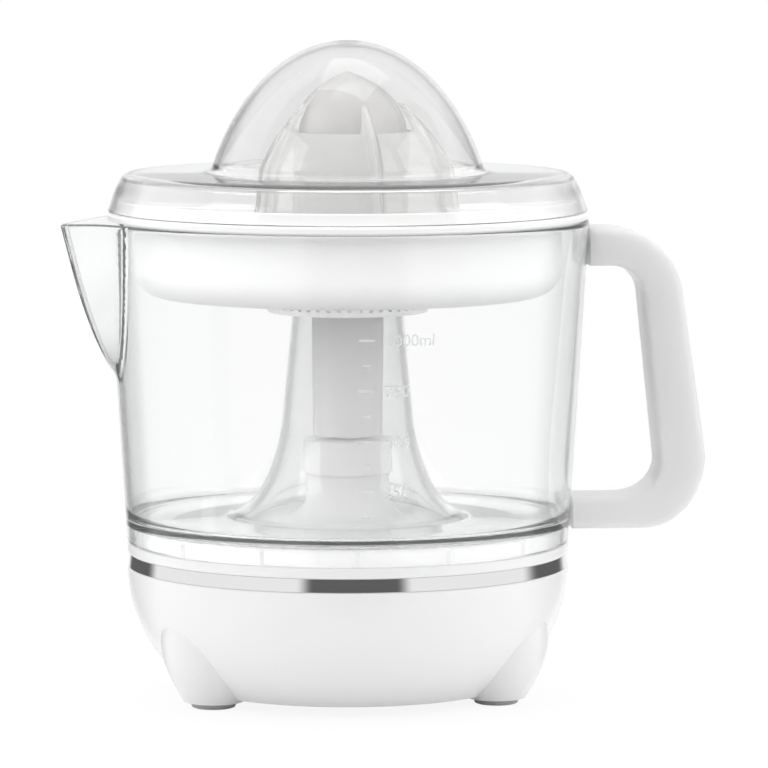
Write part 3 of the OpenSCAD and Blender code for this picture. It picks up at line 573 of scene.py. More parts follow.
@dataclass(frozen=True)
class Metal:
    """Bare or plated metal with fine machining marks."""

    name: str
    colour: str
    roughness: float
    marks_mm: float = 0.5
    marks_height: float = 0.05

    def build(self) -> bpy.types.Material:
        """Makes the node material.

        Returns:
            The material.
        """
        material = bare_material(self.name)
        tree = material.node_tree
        place = put(tree, "ShaderNodeTexCoord")
        marks = put(tree, "ShaderNodeTexNoise", {},
                    {"Vector": place.outputs["Object"], "Scale": 1.0 / (self.marks_mm * MM)})
        bump = put(tree, "ShaderNodeBump", {},
                   {"Strength": self.marks_height, "Distance": 0.0002, "Height": marks.outputs["Fac"]})
        surface = put(tree, "ShaderNodeBsdfPrincipled", {},
                      {"Base Color": linear(self.colour), "Metallic": 1.0, "Roughness": self.roughness,
                       "Normal": bump.outputs["Normal"]})
        put(tree, "ShaderNodeOutputMaterial", {}, {"Surface": surface.outputs["BSDF"]})
        return material


class Finish(Enum):
    """Every finish on the press, by its common name."""

    # Polished mould: broad soft highlights on a clean white.
    WHITE_ABS = MouldedPlastic("white_gloss_ABS", "#F1F1F1", 0.22)
    # The same plastic from a duller mould, a shade whiter.
    STRAINER_ABS = MouldedPlastic("white_ABS_strainer", "#F5F5F5", 0.3)
    # Plain satin plastics inside the base.
    GREY_ABS = MouldedPlastic("grey_ABS", "#9B9B9B", 0.45)
    BLACK_ABS = MouldedPlastic("black_ABS", "#1C1C1C", 0.4)
    RED_ABS = MouldedPlastic("red_ABS", "#A01A14", 0.4)
    # Undyed nylon: waxy and faintly yellow.
    NYLON = MouldedPlastic("natural_nylon", "#E6E3D9", 0.45)
    # Rubber from a matt mould: no highlight, only a soft pebbled shade.
    RUBBER = MouldedPlastic("grey_rubber", "#B4B6B8", 0.7, peel_mm=0.6, peel_height=0.2, ior=1.52)
    # Thin walls look nearly colourless face on, and blue-grey along their edges.
    CLEAR_SAN = ClearStyrene(
        "clear_SAN", ((0.0, "#FFFFFF"), (0.9, "#FCFEFE"), (1.0, "#9FB0B4")), milk=0.035)
    # Painted shade: the chimney's two walls are close behind each other, so it is tinted a shade greyer
    # than the rest of the jug's wall, standing in for that shade.
    SHADED_CHIMNEY_SAN = ClearStyrene(
        "clear_SAN_chimney_painted_shade", ((0.0, "#F9F9F9"), (0.85, "#F6F8F8"), (1.0, "#9FB0B4")), milk=0.05)
    # Painted shade: the dome is deep and seen from inside too, so its middle, face on, is tinted grey to
    # stand in for the shade this gives.
    SHADED_COVER_SAN = ClearStyrene(
        "clear_SAN_cover_painted_shade",
        ((0.0, "#ECECEC"), (0.3, "#F0F0F0"), (0.6, "#F9F9F9"), (0.9, "#F7F8F8"), (1.0, "#93A3A7")),
        milk=0.03)
    # The large reamer is clear with a light haze, so its ribs show as pale bands.
    CONE_SAN = ClearStyrene(
        "clear_SAN_reamer", ((0.0, "#F6F6F5"), (0.6, "#F3F3F2"), (1.0, "#A2A2A0")),
        milk=0.22, roughness=0.05)
    # The small reamer is dyed a light smoky grey.
    SMOKE_SAN = ClearStyrene(
        "smoky_SAN", ((0.0, "#DCDBD9"), (0.6, "#D7D6D4"), (1.0, "#B0AFAC")), milk=0.5, roughness=0.06)
    # Painted light: its hollow stem stands in the light of the clear jug, and is drawn as a milky white
    # copy of the smoky plastic to stand in for that light.
    PAINTED_LIGHT_STEM_SAN = ClearStyrene(
        "milky_SAN_stem_painted_light", ((0.0, "#FDFDFD"), (0.7, "#FBFBFB"), (1.0, "#E8E8E8")),
        milk=0.88, roughness=0.1)
    # Raised figures come from an etched part of the mould: frosted, a little whiter than the wall.
    RELIEF_SAN = ClearStyrene(
        "frosted_SAN_relief", ((0.0, "#F4F6F6"), (0.8, "#EEF1F1"), (1.0, "#C4CCCE")),
        milk=0.3, roughness=0.3)
    # Light soaks into the thick handle, which glows evenly and has hardly any shade.
    FROSTED_PP = FrostedPolypropylene("frosted_polypropylene", "#E8E8E8")
    # Plated on plastic: a clean mirror with a long faint wave.
    CHROME = Metal("chrome_plating", "#ECECEC", 0.05, marks_mm=2.0, marks_height=0.004)
    # Metals inside the base, from bright ground steel to dull laminations.
    STEEL = Metal("ground_steel", "#A9A9A9", 0.3)
    CORE_STEEL = Metal("laminated_steel", "#6E7074", 0.45)
    BRONZE = Metal("sintered_bronze", "#A9794A", 0.5)
    COPPER = Metal("enamelled_copper", "#B0623A", 0.3)
    # Pressed and fired powder: near black and matt.
    FERRITE = MouldedPlastic("sintered_ferrite", "#2B2B2D", 0.6)


class FinishShelf:
    """Makes each finish once and hands it out."""

    def __init__(self) -> None:
        """Starts empty."""
        self.made: dict[Finish, bpy.types.Material] = {}

    def material(self, finish: Finish) -> bpy.types.Material:
        """Hands out one finish.

        Args:
            finish: The finish.

        Returns:
            Its material, made at the first call.
        """
        if finish not in self.made:
            self.made[finish] = finish.value.build()
        return self.made[finish]

    def dress(self, piece: bpy.types.Object, finish: Finish) -> None:
        """Gives a piece one finish on all its faces.

        Args:
            piece: Object to dress.
            finish: Finish to use.
        """
        piece.data.materials.clear()
        piece.data.materials.append(self.material(finish))

    def dress_part(self, piece: bpy.types.Object, finish: Finish,
                   chosen: Callable[[Vector], bool]) -> None:
        """Gives some faces of a piece another finish.

        Args:
            piece: Object that already has its first finish.
            finish: Finish of the chosen faces.
            chosen: Tells from a face's centre, in metres, whether it is one of them.
        """
        piece.data.materials.append(self.material(finish))
        slot = len(piece.data.materials) - 1
        for face in piece.data.polygons:
            if chosen(face.center):
                face.material_index = slot


def place(piece: bpy.types.Object, body: str, slot: str, node: Optional[str] = None) -> None:
    """Fixes a finished piece to its body.

    Args:
        piece: The piece.
        body: CAD body that it moves with.
        slot: Not used.
        node: CAD node that it stands for, if any.
    """
    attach(piece, body)
    if node:
        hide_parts(node)
    log.info("%s rides on %s, %d faces", piece.name, body, len(piece.data.polygons))


def level(node: str, top: bool) -> float:
    """Height of a CAD node's top or bottom.

    Args:
        node: Name of the node.
        top: Whether its top is meant.

    Returns:
        The height in millimetres.
    """
    low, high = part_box(node)
    return (high.z if top else low.z) / MM


def reach(node: str) -> float:
    """Largest half-depth of a CAD node, which is its radius where it is round, in millimetres."""
    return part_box(node)[1].y / MM


# ---- Sub-assemblies ----------------------------------------------------------------------


@dataclass
class Base:
    """White motor base: bowl with three legs, chrome ring, top cover with its post, and rubber feet."""

    shelf: FinishShelf
    wall: float = 2.2
    bowl_drop: float = 56.8
    leg_ring: float = 53.0
    leg_rim: float = 9.8
    leg_swell: float = 7.2
    leg_bend: float = math.radians(125.0)
    leg_rise: float = 26.6
    locator_r: float = 68.7
    locator_h: float = 5.4
    seat_gap: float = 0.3
    leg_angles: tuple[float, ...] = (90.0, 210.0, 330.0)
    ribs: int = 14
    rib_phase: float = 10.0

    def bowl(self) -> None:
        """Makes the bowl with its legs, as one moulding."""
        top = level("base_housing", True)
        leg_low = level("base_housing", False)
        low = leg_low + 1.5
        radius = reach("base_housing")
        outer = []
        inner = []
        steps = 40
        for i in range(steps + 1):
            z = low + (top - low) * (1 - math.cos(i / steps * math.pi / 2))
            outer.append((radius * math.sqrt(1 - ((z - top) / self.bowl_drop) ** 2), z))
        inside = low + 4.0
        for i in range(steps, -1, -1):
            z = inside + (top - inside) * (1 - math.cos(i / steps * math.pi / 2))
            share = math.sqrt(1 - ((z - top) / (self.bowl_drop - self.wall)) ** 2)
            inner.append(((radius - self.wall) * share, z))
        edge = outer[0][0]
        outer[-1] = (outer[-1][0], top - 0.4)
        outer.append((radius - 0.4, top))
        foot = [(edge - 12.1, inside), (edge - 12.1, low + 2.4), (edge - 4.0, low + 2.4), (edge - 4.0, low),
                (edge - 1.2, low), (edge - 0.4, low + 0.15)]
        shell = turned("base_housing_shell", outer + inner + foot)
        for angle in self.leg_angles:
            shell = combine(shell, self.leg(leg_low, angle), Joining.ADD)
        self.shelf.dress(shell, Finish.WHITE_ABS)
        place(shell, "base", "white_abs", "base_housing")

    def leg(self, low: float, angle: float) -> bpy.types.Object:
        """Makes one leg, a swelling stump whose top is lost inside the bowl.

        Args:
            low: Height of its foot end.
            angle: Direction from the axis, in degrees.

        Returns:
            The leg, ready to be joined to the bowl.
        """
        side = []
        for i in range(25):
            u = i / 24
            swell = self.leg_swell * math.sin(self.leg_bend * u)
            side.append((self.leg_rim + swell, low + 0.6 + self.leg_rise * u))
        profile = [(0.0, low), (self.leg_rim - 0.8, low), (self.leg_rim - 0.2, low + 0.2)] + side
        profile.append((0.0, low + 0.6 + self.leg_rise))
        bm = bmesh.new()
        add_turned(bm, profile, False, 64)
        bmesh.ops.translate(bm, verts=bm.verts, vec=self.leg_axis(angle))
        return finish_mesh(bm, "leg")

    def leg_axis(self, angle: float) -> Vector:
        """Where a leg's axis stands.

        Args:
            angle: Direction from the press's axis, in degrees.

        Returns:
            The place, in millimetres.
        """
        turn = math.radians(angle)
        return Vector((self.leg_ring * math.cos(turn), self.leg_ring * math.sin(turn), 0.0))

    def feet(self) -> None:
        """Makes the three rubber feet, with a soft lower edge."""
        bm = bmesh.new()
        top = level("base_housing", False)
        for angle in self.leg_angles:
            part = bmesh.new()
            side = [(0.0, 0.0), (6.2, 0.0), (6.9, 0.25), (7.2, 0.8), (7.2, top), (0.0, top)]
            add_turned(part, side, False, 64)
            bmesh.ops.translate(part, verts=part.verts, vec=self.leg_axis(angle))
            scratch = bpy.data.meshes.new("foot")
            part.to_mesh(scratch)
            part.free()
            bm.from_mesh(scratch)
            bpy.data.meshes.remove(scratch)
        piece = finish_mesh(bm, "rubber_feet_pads")
        self.shelf.dress(piece, Finish.RUBBER)
        place(piece, "base", "rubber_grey", "rubber_feet")

    def ring(self) -> None:
        """Makes the chrome ring, a slightly tapered band with softened edges."""
        low, top = level("chrome_ring", False), level("chrome_ring", True)
        radius = reach("chrome_ring")
        back = radius - 3.6
        face = [(radius - 0.2, low + 0.02), (radius, low + 0.2),
                (radius - 0.4, top - 0.25), (radius - 0.65, top - 0.02)]
        piece = turned("chrome_trim_ring", [(back, low)] + face + [(back, top)], segments=256)
        self.shelf.dress(piece, Finish.CHROME)
        place(piece, "base", "chrome_plate", "chrome_ring")

    def cover(self) -> None:
        """Makes the top cover with its ribbed locating wall and the shaft's post."""
        radius = reach("top_cover")
        top = level("top_cover", True)
        skirt = level("top_cover", False)
        seam = level("chrome_ring", True)
        deck = level("jug", False) - self.seat_gap
        wall_top = deck + self.locator_h
        wall_r = self.locator_r
        outer = [(radius - 4.2, skirt), (radius - 4.2, seam),
                 (radius - 0.5, seam), (radius - 0.1, seam + 0.4), (radius, seam + 0.8),
                 (radius, deck - 0.9), (radius - 0.3, deck - 0.25), (radius - 0.9, deck),
                 (wall_r + 0.4, deck), (wall_r, deck + 0.4), (wall_r, wall_top - 1.0),
                 (wall_r - 0.3, wall_top - 0.3), (wall_r - 1.0, wall_top)]
        post = bezier((26.0, wall_top), (14.6, wall_top), (13.5, wall_top + 9.0), 8)
        cap = [(13.5, top - 12.2), (13.9, top - 11.5), (14.6, top - 10.9), (14.6, top - 0.8),
               (14.4, top - 0.2), (13.9, top), (6.5, top), (6.5, top - 12.0), (11.5, top - 12.5),
               (11.5, wall_top - 2.0), (wall_r - 2.2, wall_top - 2.0), (wall_r - 2.2, skirt)]

        def ribbed(r: float, z: float, a: float) -> float:
            """Adds the locating ribs to the wall.

            Args:
                r: Radius of the plain wall.
                z: Height.
                a: Angle about the axis.

            Returns:
                The radius with the ribs.
            """
            if abs(r - wall_r) > 0.05 or not deck + 0.3 < z < wall_top - 0.5:
                return r
            away = off_rib(a, self.ribs, self.rib_phase) * r
            return r + 0.9 * (1.0 - smoothstep(0.6, 1.1, away))

        piece = turned("top_cover_shell", outer + post + cap, segments=560, rule=ribbed)
        self.shelf.dress(piece, Finish.WHITE_ABS)
        place(piece, "base", "white_abs", "top_cover")

    def build(self) -> None:
        """Makes all the pieces of the base's outside."""
        self.bowl()
        self.feet()
        self.ring()
        self.cover()


@dataclass
class Jug:
    """Clear one-litre jug: tapered wall with a beak, floor, flared chimney and raised volume scale."""

    shelf: FinishShelf
    wall: float = 2.0
    foot_r: float = 72.1
    rim_r: float = 78.7
    spout_reach: float = 93.5
    spout_half_w: float = 28.0
    spout_h: float = 51.7
    spout_bow: float = 0.46
    lip_h: float = 12.0
    chimney_reach: float = 36.0
    mark_pitch: float = 16.0
    marks: tuple[str, ...] = ("250", "500", "750", "1000ml")

    def __post_init__(self) -> None:
        """Reads the levels from the frame."""
        self.low = level("jug", False)
        self.rim = level("jug", True)
        self.floor = self.low + 6.0
        self.chimney_top = level("strainer", False) + 8.8

    def cone(self, z: float) -> float:
        """Outer radius of the wall at a height, without the spout."""
        return self.foot_r + (self.rim_r - self.foot_r) * (z - self.low) / (self.rim - self.low)

    def beak(self, z: float, a: float, inset: float) -> float:
        """Radius of the spout at a height and angle, or 0 where there is none.

        Args:
            z: Height.
            a: Angle about the axis.
            inset: How far inside the outer face.

        Returns:
            The radius in millimetres.
        """
        low = self.rim - self.spout_h
        if z <= low:
            return 0.0
        share = min(1.0, (z - low) / self.spout_h)
        bow, rest = self.spout_bow, 1.0 - self.spout_bow
        lift = (-bow + math.sqrt(bow ** 2 + 4 * rest * share)) / (2 * rest)
        root_r = self.cone(low) - 1.0
        bend_r = self.spout_reach - 8.4
        tip = root_r * (1 - lift) ** 2 + bend_r * 2 * lift * (1 - lift) + self.spout_reach * lift ** 2
        tip -= inset * 1.35
        here = self.cone(z) - inset
        half = max(self.spout_half_w * lift ** 0.42 - inset * 0.8, 0.5)
        if tip <= here:
            return 0.0
        root = math.sqrt(here ** 2 - half ** 2)
        off = abs(math.remainder(a - math.pi, TURN))
        edge = math.atan2(half, root)
        if off > edge:
            return here * (1.0 - 1.2 * (off - edge))
        slope = (tip - root) / half
        side = math.sqrt(math.sin(off) ** 2 + 0.0004) - 0.02
        return tip / (math.cos(off) + slope * side)

    def wall_rule(self, inset: float) -> RadiusRule:
        """Gives the radius rule of one face of the wall.

        Args:
            inset: How far that face lies inside the outer one.

        Returns:
            The rule.
        """
        def rule(r: float, z: float, a: float) -> float:
            """Larger of the turned wall and the spout."""
            return soft_max(r, self.beak(z, a, inset), 1.2)
        return rule

    def body(self) -> None:
        """Makes the whole jug as one closed wall."""
        wall = self.wall
        low, rim, floor = self.low, self.rim, self.floor
        rows = 96
        outer: Profile = []
        for i in range(rows + 1):
            z = low + 0.4 + (rim - 0.9 - low) * i / rows
            outer.append((self.cone(z), z))
        inner: Profile = []
        start = floor + wall + 2.6
        for i in range(rows, -1, -1):
            z = start + (rim - 0.5 - start) * i / rows
            inner.append((self.cone(z) - wall, z))
        corner = self.cone(floor) - wall
        flare = bezier((38.5, floor + wall + 0.35), (26.0, floor + wall + 4.6), (21.6, floor + 31.0), 18)
        chimney = [(41.5, floor + wall)] + flare + [(19.6, floor + 52.0), (18.2, floor + 66.0),
                                                   (17.8, self.chimney_top - 0.5), (17.4, self.chimney_top),
                                                   (16.2, self.chimney_top), (15.8, self.chimney_top - 0.5)]
        bore = [(16.2, floor + 66.0), (17.6, floor + 52.0)]
        back = [(r - wall, z - wall * 0.9) for r, z in reversed(flare)]
        under = [(38.5, floor), (corner - 0.8, floor), (corner - 0.1, floor - 0.5),
                 (self.cone(low) - wall, low)]
        bm = bmesh.new()
        rings = []
        angles = self.angles()
        groups = [([(self.cone(low) - 0.4, low)], None), (outer, self.wall_rule(0.0)),
                  ([(self.cone(rim) - 0.3, rim - 0.1), (self.cone(rim) - 0.9, rim)], self.wall_rule(0.6)),
                  ([(self.cone(rim) - wall + 0.4, rim)], self.wall_rule(wall * 0.9)),
                  (inner, self.wall_rule(wall)),
                  ([(corner, floor + wall + 1.2), (corner - 0.8, floor + wall + 0.3),
                    (corner - 2.2, floor + wall)], None),
                  (chimney + bore + back + under, None)]
        for points, rule in groups:
            for r, z in points:
                ring = add_ring(bm, r, z, angles, rule)
                for v in ring:
                    v.co.z -= self.lip_dip(z, math.hypot(v.co.x, v.co.y))
                rings.append(ring)
        add_skin(bm, rings, True)
        piece = finish_mesh(bm, "jug_clear_wall", 40.0)
        self.shelf.dress(piece, Finish.CLEAR_SAN)
        # Painted shade: the chimney's faces get the greyer copy of the clear finish.
        self.shelf.dress_part(piece, Finish.SHADED_CHIMNEY_SAN,
                              lambda c: math.hypot(c.x, c.y) < self.chimney_reach * MM)
        place(piece, "jug", "clear_san", "jug")

    def lip_dip(self, z: float, r: float) -> float:
        """How far the spout's lip dips below the rim near its tip.

        Args:
            z: Height.
            r: Radius.

        Returns:
            The dip in millimetres.
        """
        if z < self.rim - self.lip_h:
            return 0.0
        outward = smoothstep(self.rim_r + 2.0, self.spout_reach, r)
        return outward * smoothstep(self.rim - self.lip_h, self.rim, z)

    def angles(self) -> list[float]:
        """Angles around the jug, closer together at the spout.

        Returns:
            The angles in radians.
        """
        fine = [math.radians(150.0 + 60.0 * i / 150) for i in range(150)]
        coarse = [math.radians(210.0 + 300.0 * i / 200) for i in range(200)]
        return fine + coarse

    def tongues(self) -> None:
        """Makes the two tongues that the handle is pushed onto."""
        bm = bmesh.new()
        tops = (self.rim - 2.9 - 6.1 - 2.0, self.low + 3.6 + 5.1 - 2.0)
        ends = (self.rim_r + 8.8, self.foot_r + 8.2)
        for bottom, end in zip(tops, ends):
            start = self.cone(bottom) - 0.9
            add_box(bm, Vector((start, -7.5, bottom)), Vector((end, 7.5, bottom + 4.0)))
        bmesh.ops.bevel(bm, geom=bm.edges[:], offset=0.4, segments=2, affect="EDGES")
        piece = finish_mesh(bm, "handle_tongues")
        self.shelf.dress(piece, Finish.CLEAR_SAN)
        place(piece, "jug", "clear_san")

    def scale(self) -> None:
        """Makes the raised volume numbers and their bars, one shallow relief that follows the wall."""
        bm = bmesh.new()
        front = -math.pi / 2
        for i, label in enumerate(self.marks):
            z = self.floor + self.wall + self.mark_pitch * (i + 1)
            self.add_bar(bm, front - math.radians(0.7), z, 5.0)
            self.add_bar(bm, front - math.radians(0.7), z - self.mark_pitch / 2, 2.5)
            self.add_words(bm, label, front + math.radians(3.75), z - 1.9)
        piece = finish_mesh(bm, "volume_scale")
        self.shelf.dress(piece, Finish.RELIEF_SAN)
        place(piece, "jug", "clear_san")

    def add_bar(self, bm: bmesh.types.BMesh, a: float, z: float, width: float) -> None:
        """Adds one raised bar that follows the wall.

        Args:
            bm: Mesh to add to.
            a: Angle of its middle, in radians.
            z: Its height.
            width: Its length along the wall.
        """
        half = width / 2 / self.cone(z)
        steps = 6
        grid = []
        for i in range(steps + 1):
            turn = a - half + 2 * half * i / steps
            ring = []
            for rise, up in ((0.02, -0.35), (0.2, -0.2), (0.2, 0.2), (0.02, 0.35)):
                r = self.cone(z) + rise
                ring.append(bm.verts.new((r * math.cos(turn), r * math.sin(turn), z + up)))
            grid.append(ring)
        add_skin(bm, grid, False)
        bm.faces.new(grid[0][::-1])
        bm.faces.new(grid[-1])

    def add_words(self, bm: bmesh.types.BMesh, words: str, a: float, z: float) -> None:
        """Adds raised numbers, bent round the wall.

        Args:
            bm: Mesh to add to.
            words: The number, with its unit.
            a: Angle where the number starts.
            z: Height of its foot.
        """
        curve = bpy.data.curves.new("number", "FONT")
        curve.body = words
        curve.size = 5.4
        curve.extrude = 0.1
        curve.resolution_u = 3
        text = bpy.data.objects.new("number", curve)
        bpy.context.scene.collection.objects.link(text)
        bpy.context.view_layer.update()
        mesh = bpy.data.meshes.new_from_object(text)
        part = bmesh.new()
        part.from_mesh(mesh)
        for v in part.verts:
            height = z + v.co.y
            r = self.cone(height) + 0.12 + v.co.z
            turn = a + v.co.x / self.cone(height)
            v.co = Vector((r * math.cos(turn), r * math.sin(turn), height))
        part.to_mesh(mesh)
        part.free()
        bm.from_mesh(mesh)
        bpy.data.objects.remove(text)
        bpy.data.meshes.remove(mesh)
        bpy.data.curves.remove(curve)

    def build(self) -> None:
        """Makes the jug and what is moulded on it."""
        self.body()
        self.tongues()
        self.scale()


@dataclass
class Handle:
    """Frosted D-shaped handle: a moulding swept along its loop, with soft edges."""

    shelf: FinishShelf
    depth: float = 25.0
    edge: float = 2.6
    jug: Optional[Jug] = field(default=None)

    def outlines(self) -> tuple[Profile, Profile]:
        """Outer and inner outline of the loop in the X-Z plane.

        Returns:
            Two lists of matching points, from the upper end to the lower end.
        """
        top, low = level("handle", True), level("handle", False)
        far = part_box("handle")[1].x / MM
        near_top = self.jug.cone(top - 6) + 0.15
        near_low = self.jug.cone(low + 5) + 0.15
        outer = [(near_top, top)]
        outer += arc((far - 7.5 - 24, top - 24), (24, 24), 90, 5, 16)
        outer += arc((far - 20, low + 24), (20, 24), 0, -90, 16)
        outer.append((near_low, low))
        inner = [(near_top, top - 12.2)]
        inner += arc((far - 7.5 - 12.8 - 11, top - 12.2 - 11), (11, 11), 90, 5, 16)
        inner += arc((far - 14.6 - 13, low + 10.2 + 11), (13, 11), 0, -90, 16)
        inner.append((near_low, low + 10.2))
        return outer, inner

    def dense(self, points: Profile, count: int) -> Profile:
        """Spreads points evenly over each of the loop's five stretches.

        Args:
            points: One outline of the loop.
            count: Number of steps on each stretch.

        Returns:
            The points, both ends included.
        """
        out: Profile = []
        marks = [0, 1, 17, 18, 34, 35]
        for a, b in zip(marks, marks[1:]):
            stretch = points[a:b + 1]
            lengths = [0.0]
            for p, q in zip(stretch, stretch[1:]):
                lengths.append(lengths[-1] + math.dist(p, q))
            for i in range(count):
                want = lengths[-1] * i / count
                k = max(j for j in range(len(lengths) - 1) if lengths[j] <= want + 1e-9)
                part = (want - lengths[k]) / max(lengths[k + 1] - lengths[k], 1e-9)
                out.append(between(stretch[k], stretch[k + 1], part))
        out.append(points[-1])
        return out

    def section(self, bm: bmesh.types.BMesh, above: Point, below: Point) -> Ring:
        """Adds one cross-section of the handle.

        Args:
            bm: Mesh to add to.
            above: Its point on the outer outline.
            below: Its point on the inner outline.

        Returns:
            The points round the section.
        """
        across = Vector(above) - Vector(below)
        unit = across.normalized()
        half_w, half_d = across.length / 2, self.depth / 2
        middle = Vector(((above[0] + below[0]) / 2, (above[1] + below[1]) / 2))
        corners = [(-half_w, -half_d), (half_w, -half_d), (half_w, half_d), (-half_w, half_d)]
        ring = []
        for w, y in rounded(corners, self.edge, 5):
            at = middle + unit * w
            ring.append(bm.verts.new((at.x, y, at.y)))
        return ring

    def build(self) -> None:
        """Makes the handle."""
        bm = bmesh.new()
        outer, inner = (self.dense(line, 14) for line in self.outlines())
        rings = [self.section(bm, above, below) for above, below in zip(outer, inner)]
        add_skin(bm, rings, False)
        bm.faces.new(rings[0][::-1])
        bm.faces.new(rings[-1])
        piece = finish_mesh(bm, "handle_grip", 40.0)
        self.shelf.dress(piece, Finish.FROSTED_PP)
        place(piece, "jug", "frosted_pp", "handle")


@dataclass
class Strainer:
    """White strainer: flange, basket and a slotted sieve ring around the chimney."""

    shelf: FinishShelf
    wall: float = 2.0
    flange_r: float = 78.4
    basket_r: float = 69.7
    sieve_r: float = 26.2
    slots: int = 48
    floor_slots: int = 36
    slot_w: float = 1.3

    def build(self) -> None:
        """Makes the strainer and cuts its slots."""
        low = level("strainer", False)
        lip_top = level("strainer", True)
        top = lip_top - 4.0
        seat = top - 2.2
        floor = low + 5.5
        collar = low + 11.1
        wall = self.wall
        inner = [(13.0, collar - wall), (13.0, collar - 0.4), (13.4, collar),
                 (19.6, collar), (20.1, collar - 0.6), (20.1, low + 2.2), (20.7, low + 1.6),
                 (self.sieve_r - wall - 0.5, low + 1.6),
                 (self.sieve_r - wall, low + 2.2), (self.sieve_r - wall, floor + wall - 0.5),
                 (self.sieve_r - wall + 0.5, floor + wall)]
        inner += arc((self.basket_r - wall - 7, floor + wall + 7), (7, 7), -90, 0, 8)
        inner += [(self.basket_r - wall, top - 0.5), (self.basket_r - wall + 0.5, top),
                  (72.0, top), (72.7, top + 0.5),
                  (72.9, lip_top - 0.5), (73.2, lip_top), (74.2, lip_top), (74.6, lip_top - 0.4),
                  (74.6, top)]
        outer = [(self.flange_r - 0.5, top), (self.flange_r, top - 0.5), (self.flange_r, seat + 0.5),
                 (self.flange_r - 0.5, seat), (self.basket_r + 0.6, seat), (self.basket_r, seat - 0.6)]
        outer += arc((self.basket_r - 9, floor + 9), (9, 9), 0, -90, 10)
        outer += [(self.sieve_r + 0.6, floor), (self.sieve_r, floor - 0.6), (self.sieve_r, low + 0.4),
                  (self.sieve_r - 0.4, low), (18.5, low), (18.1, low + 0.4), (18.1, collar - wall)]
        piece = turned("strainer_basket", inner + outer, segments=240)
        cutter = bmesh.new()
        for i in range(self.slots):
            add_box(cutter, Vector((self.sieve_r - 3.0, -self.slot_w / 2, low + 1.6)),
                    Vector((self.sieve_r + 1.0, self.slot_w / 2, floor - 0.5)),
                    TURN * (i + 0.5) / self.slots)
        for i in range(self.floor_slots):
            add_box(cutter, Vector((self.sieve_r + 3.0, -self.slot_w / 2, floor - 1.0)),
                    Vector((self.sieve_r + 17.0, self.slot_w / 2, floor + wall + 1.0)),
                    TURN * (i + 0.5) / self.floor_slots)
        piece = combine(piece, finish_mesh(cutter, "slots"), Joining.CUT)
        self.shelf.dress(piece, Finish.STRAINER_ABS)
        place(piece, "strainer", "white_abs", "strainer")


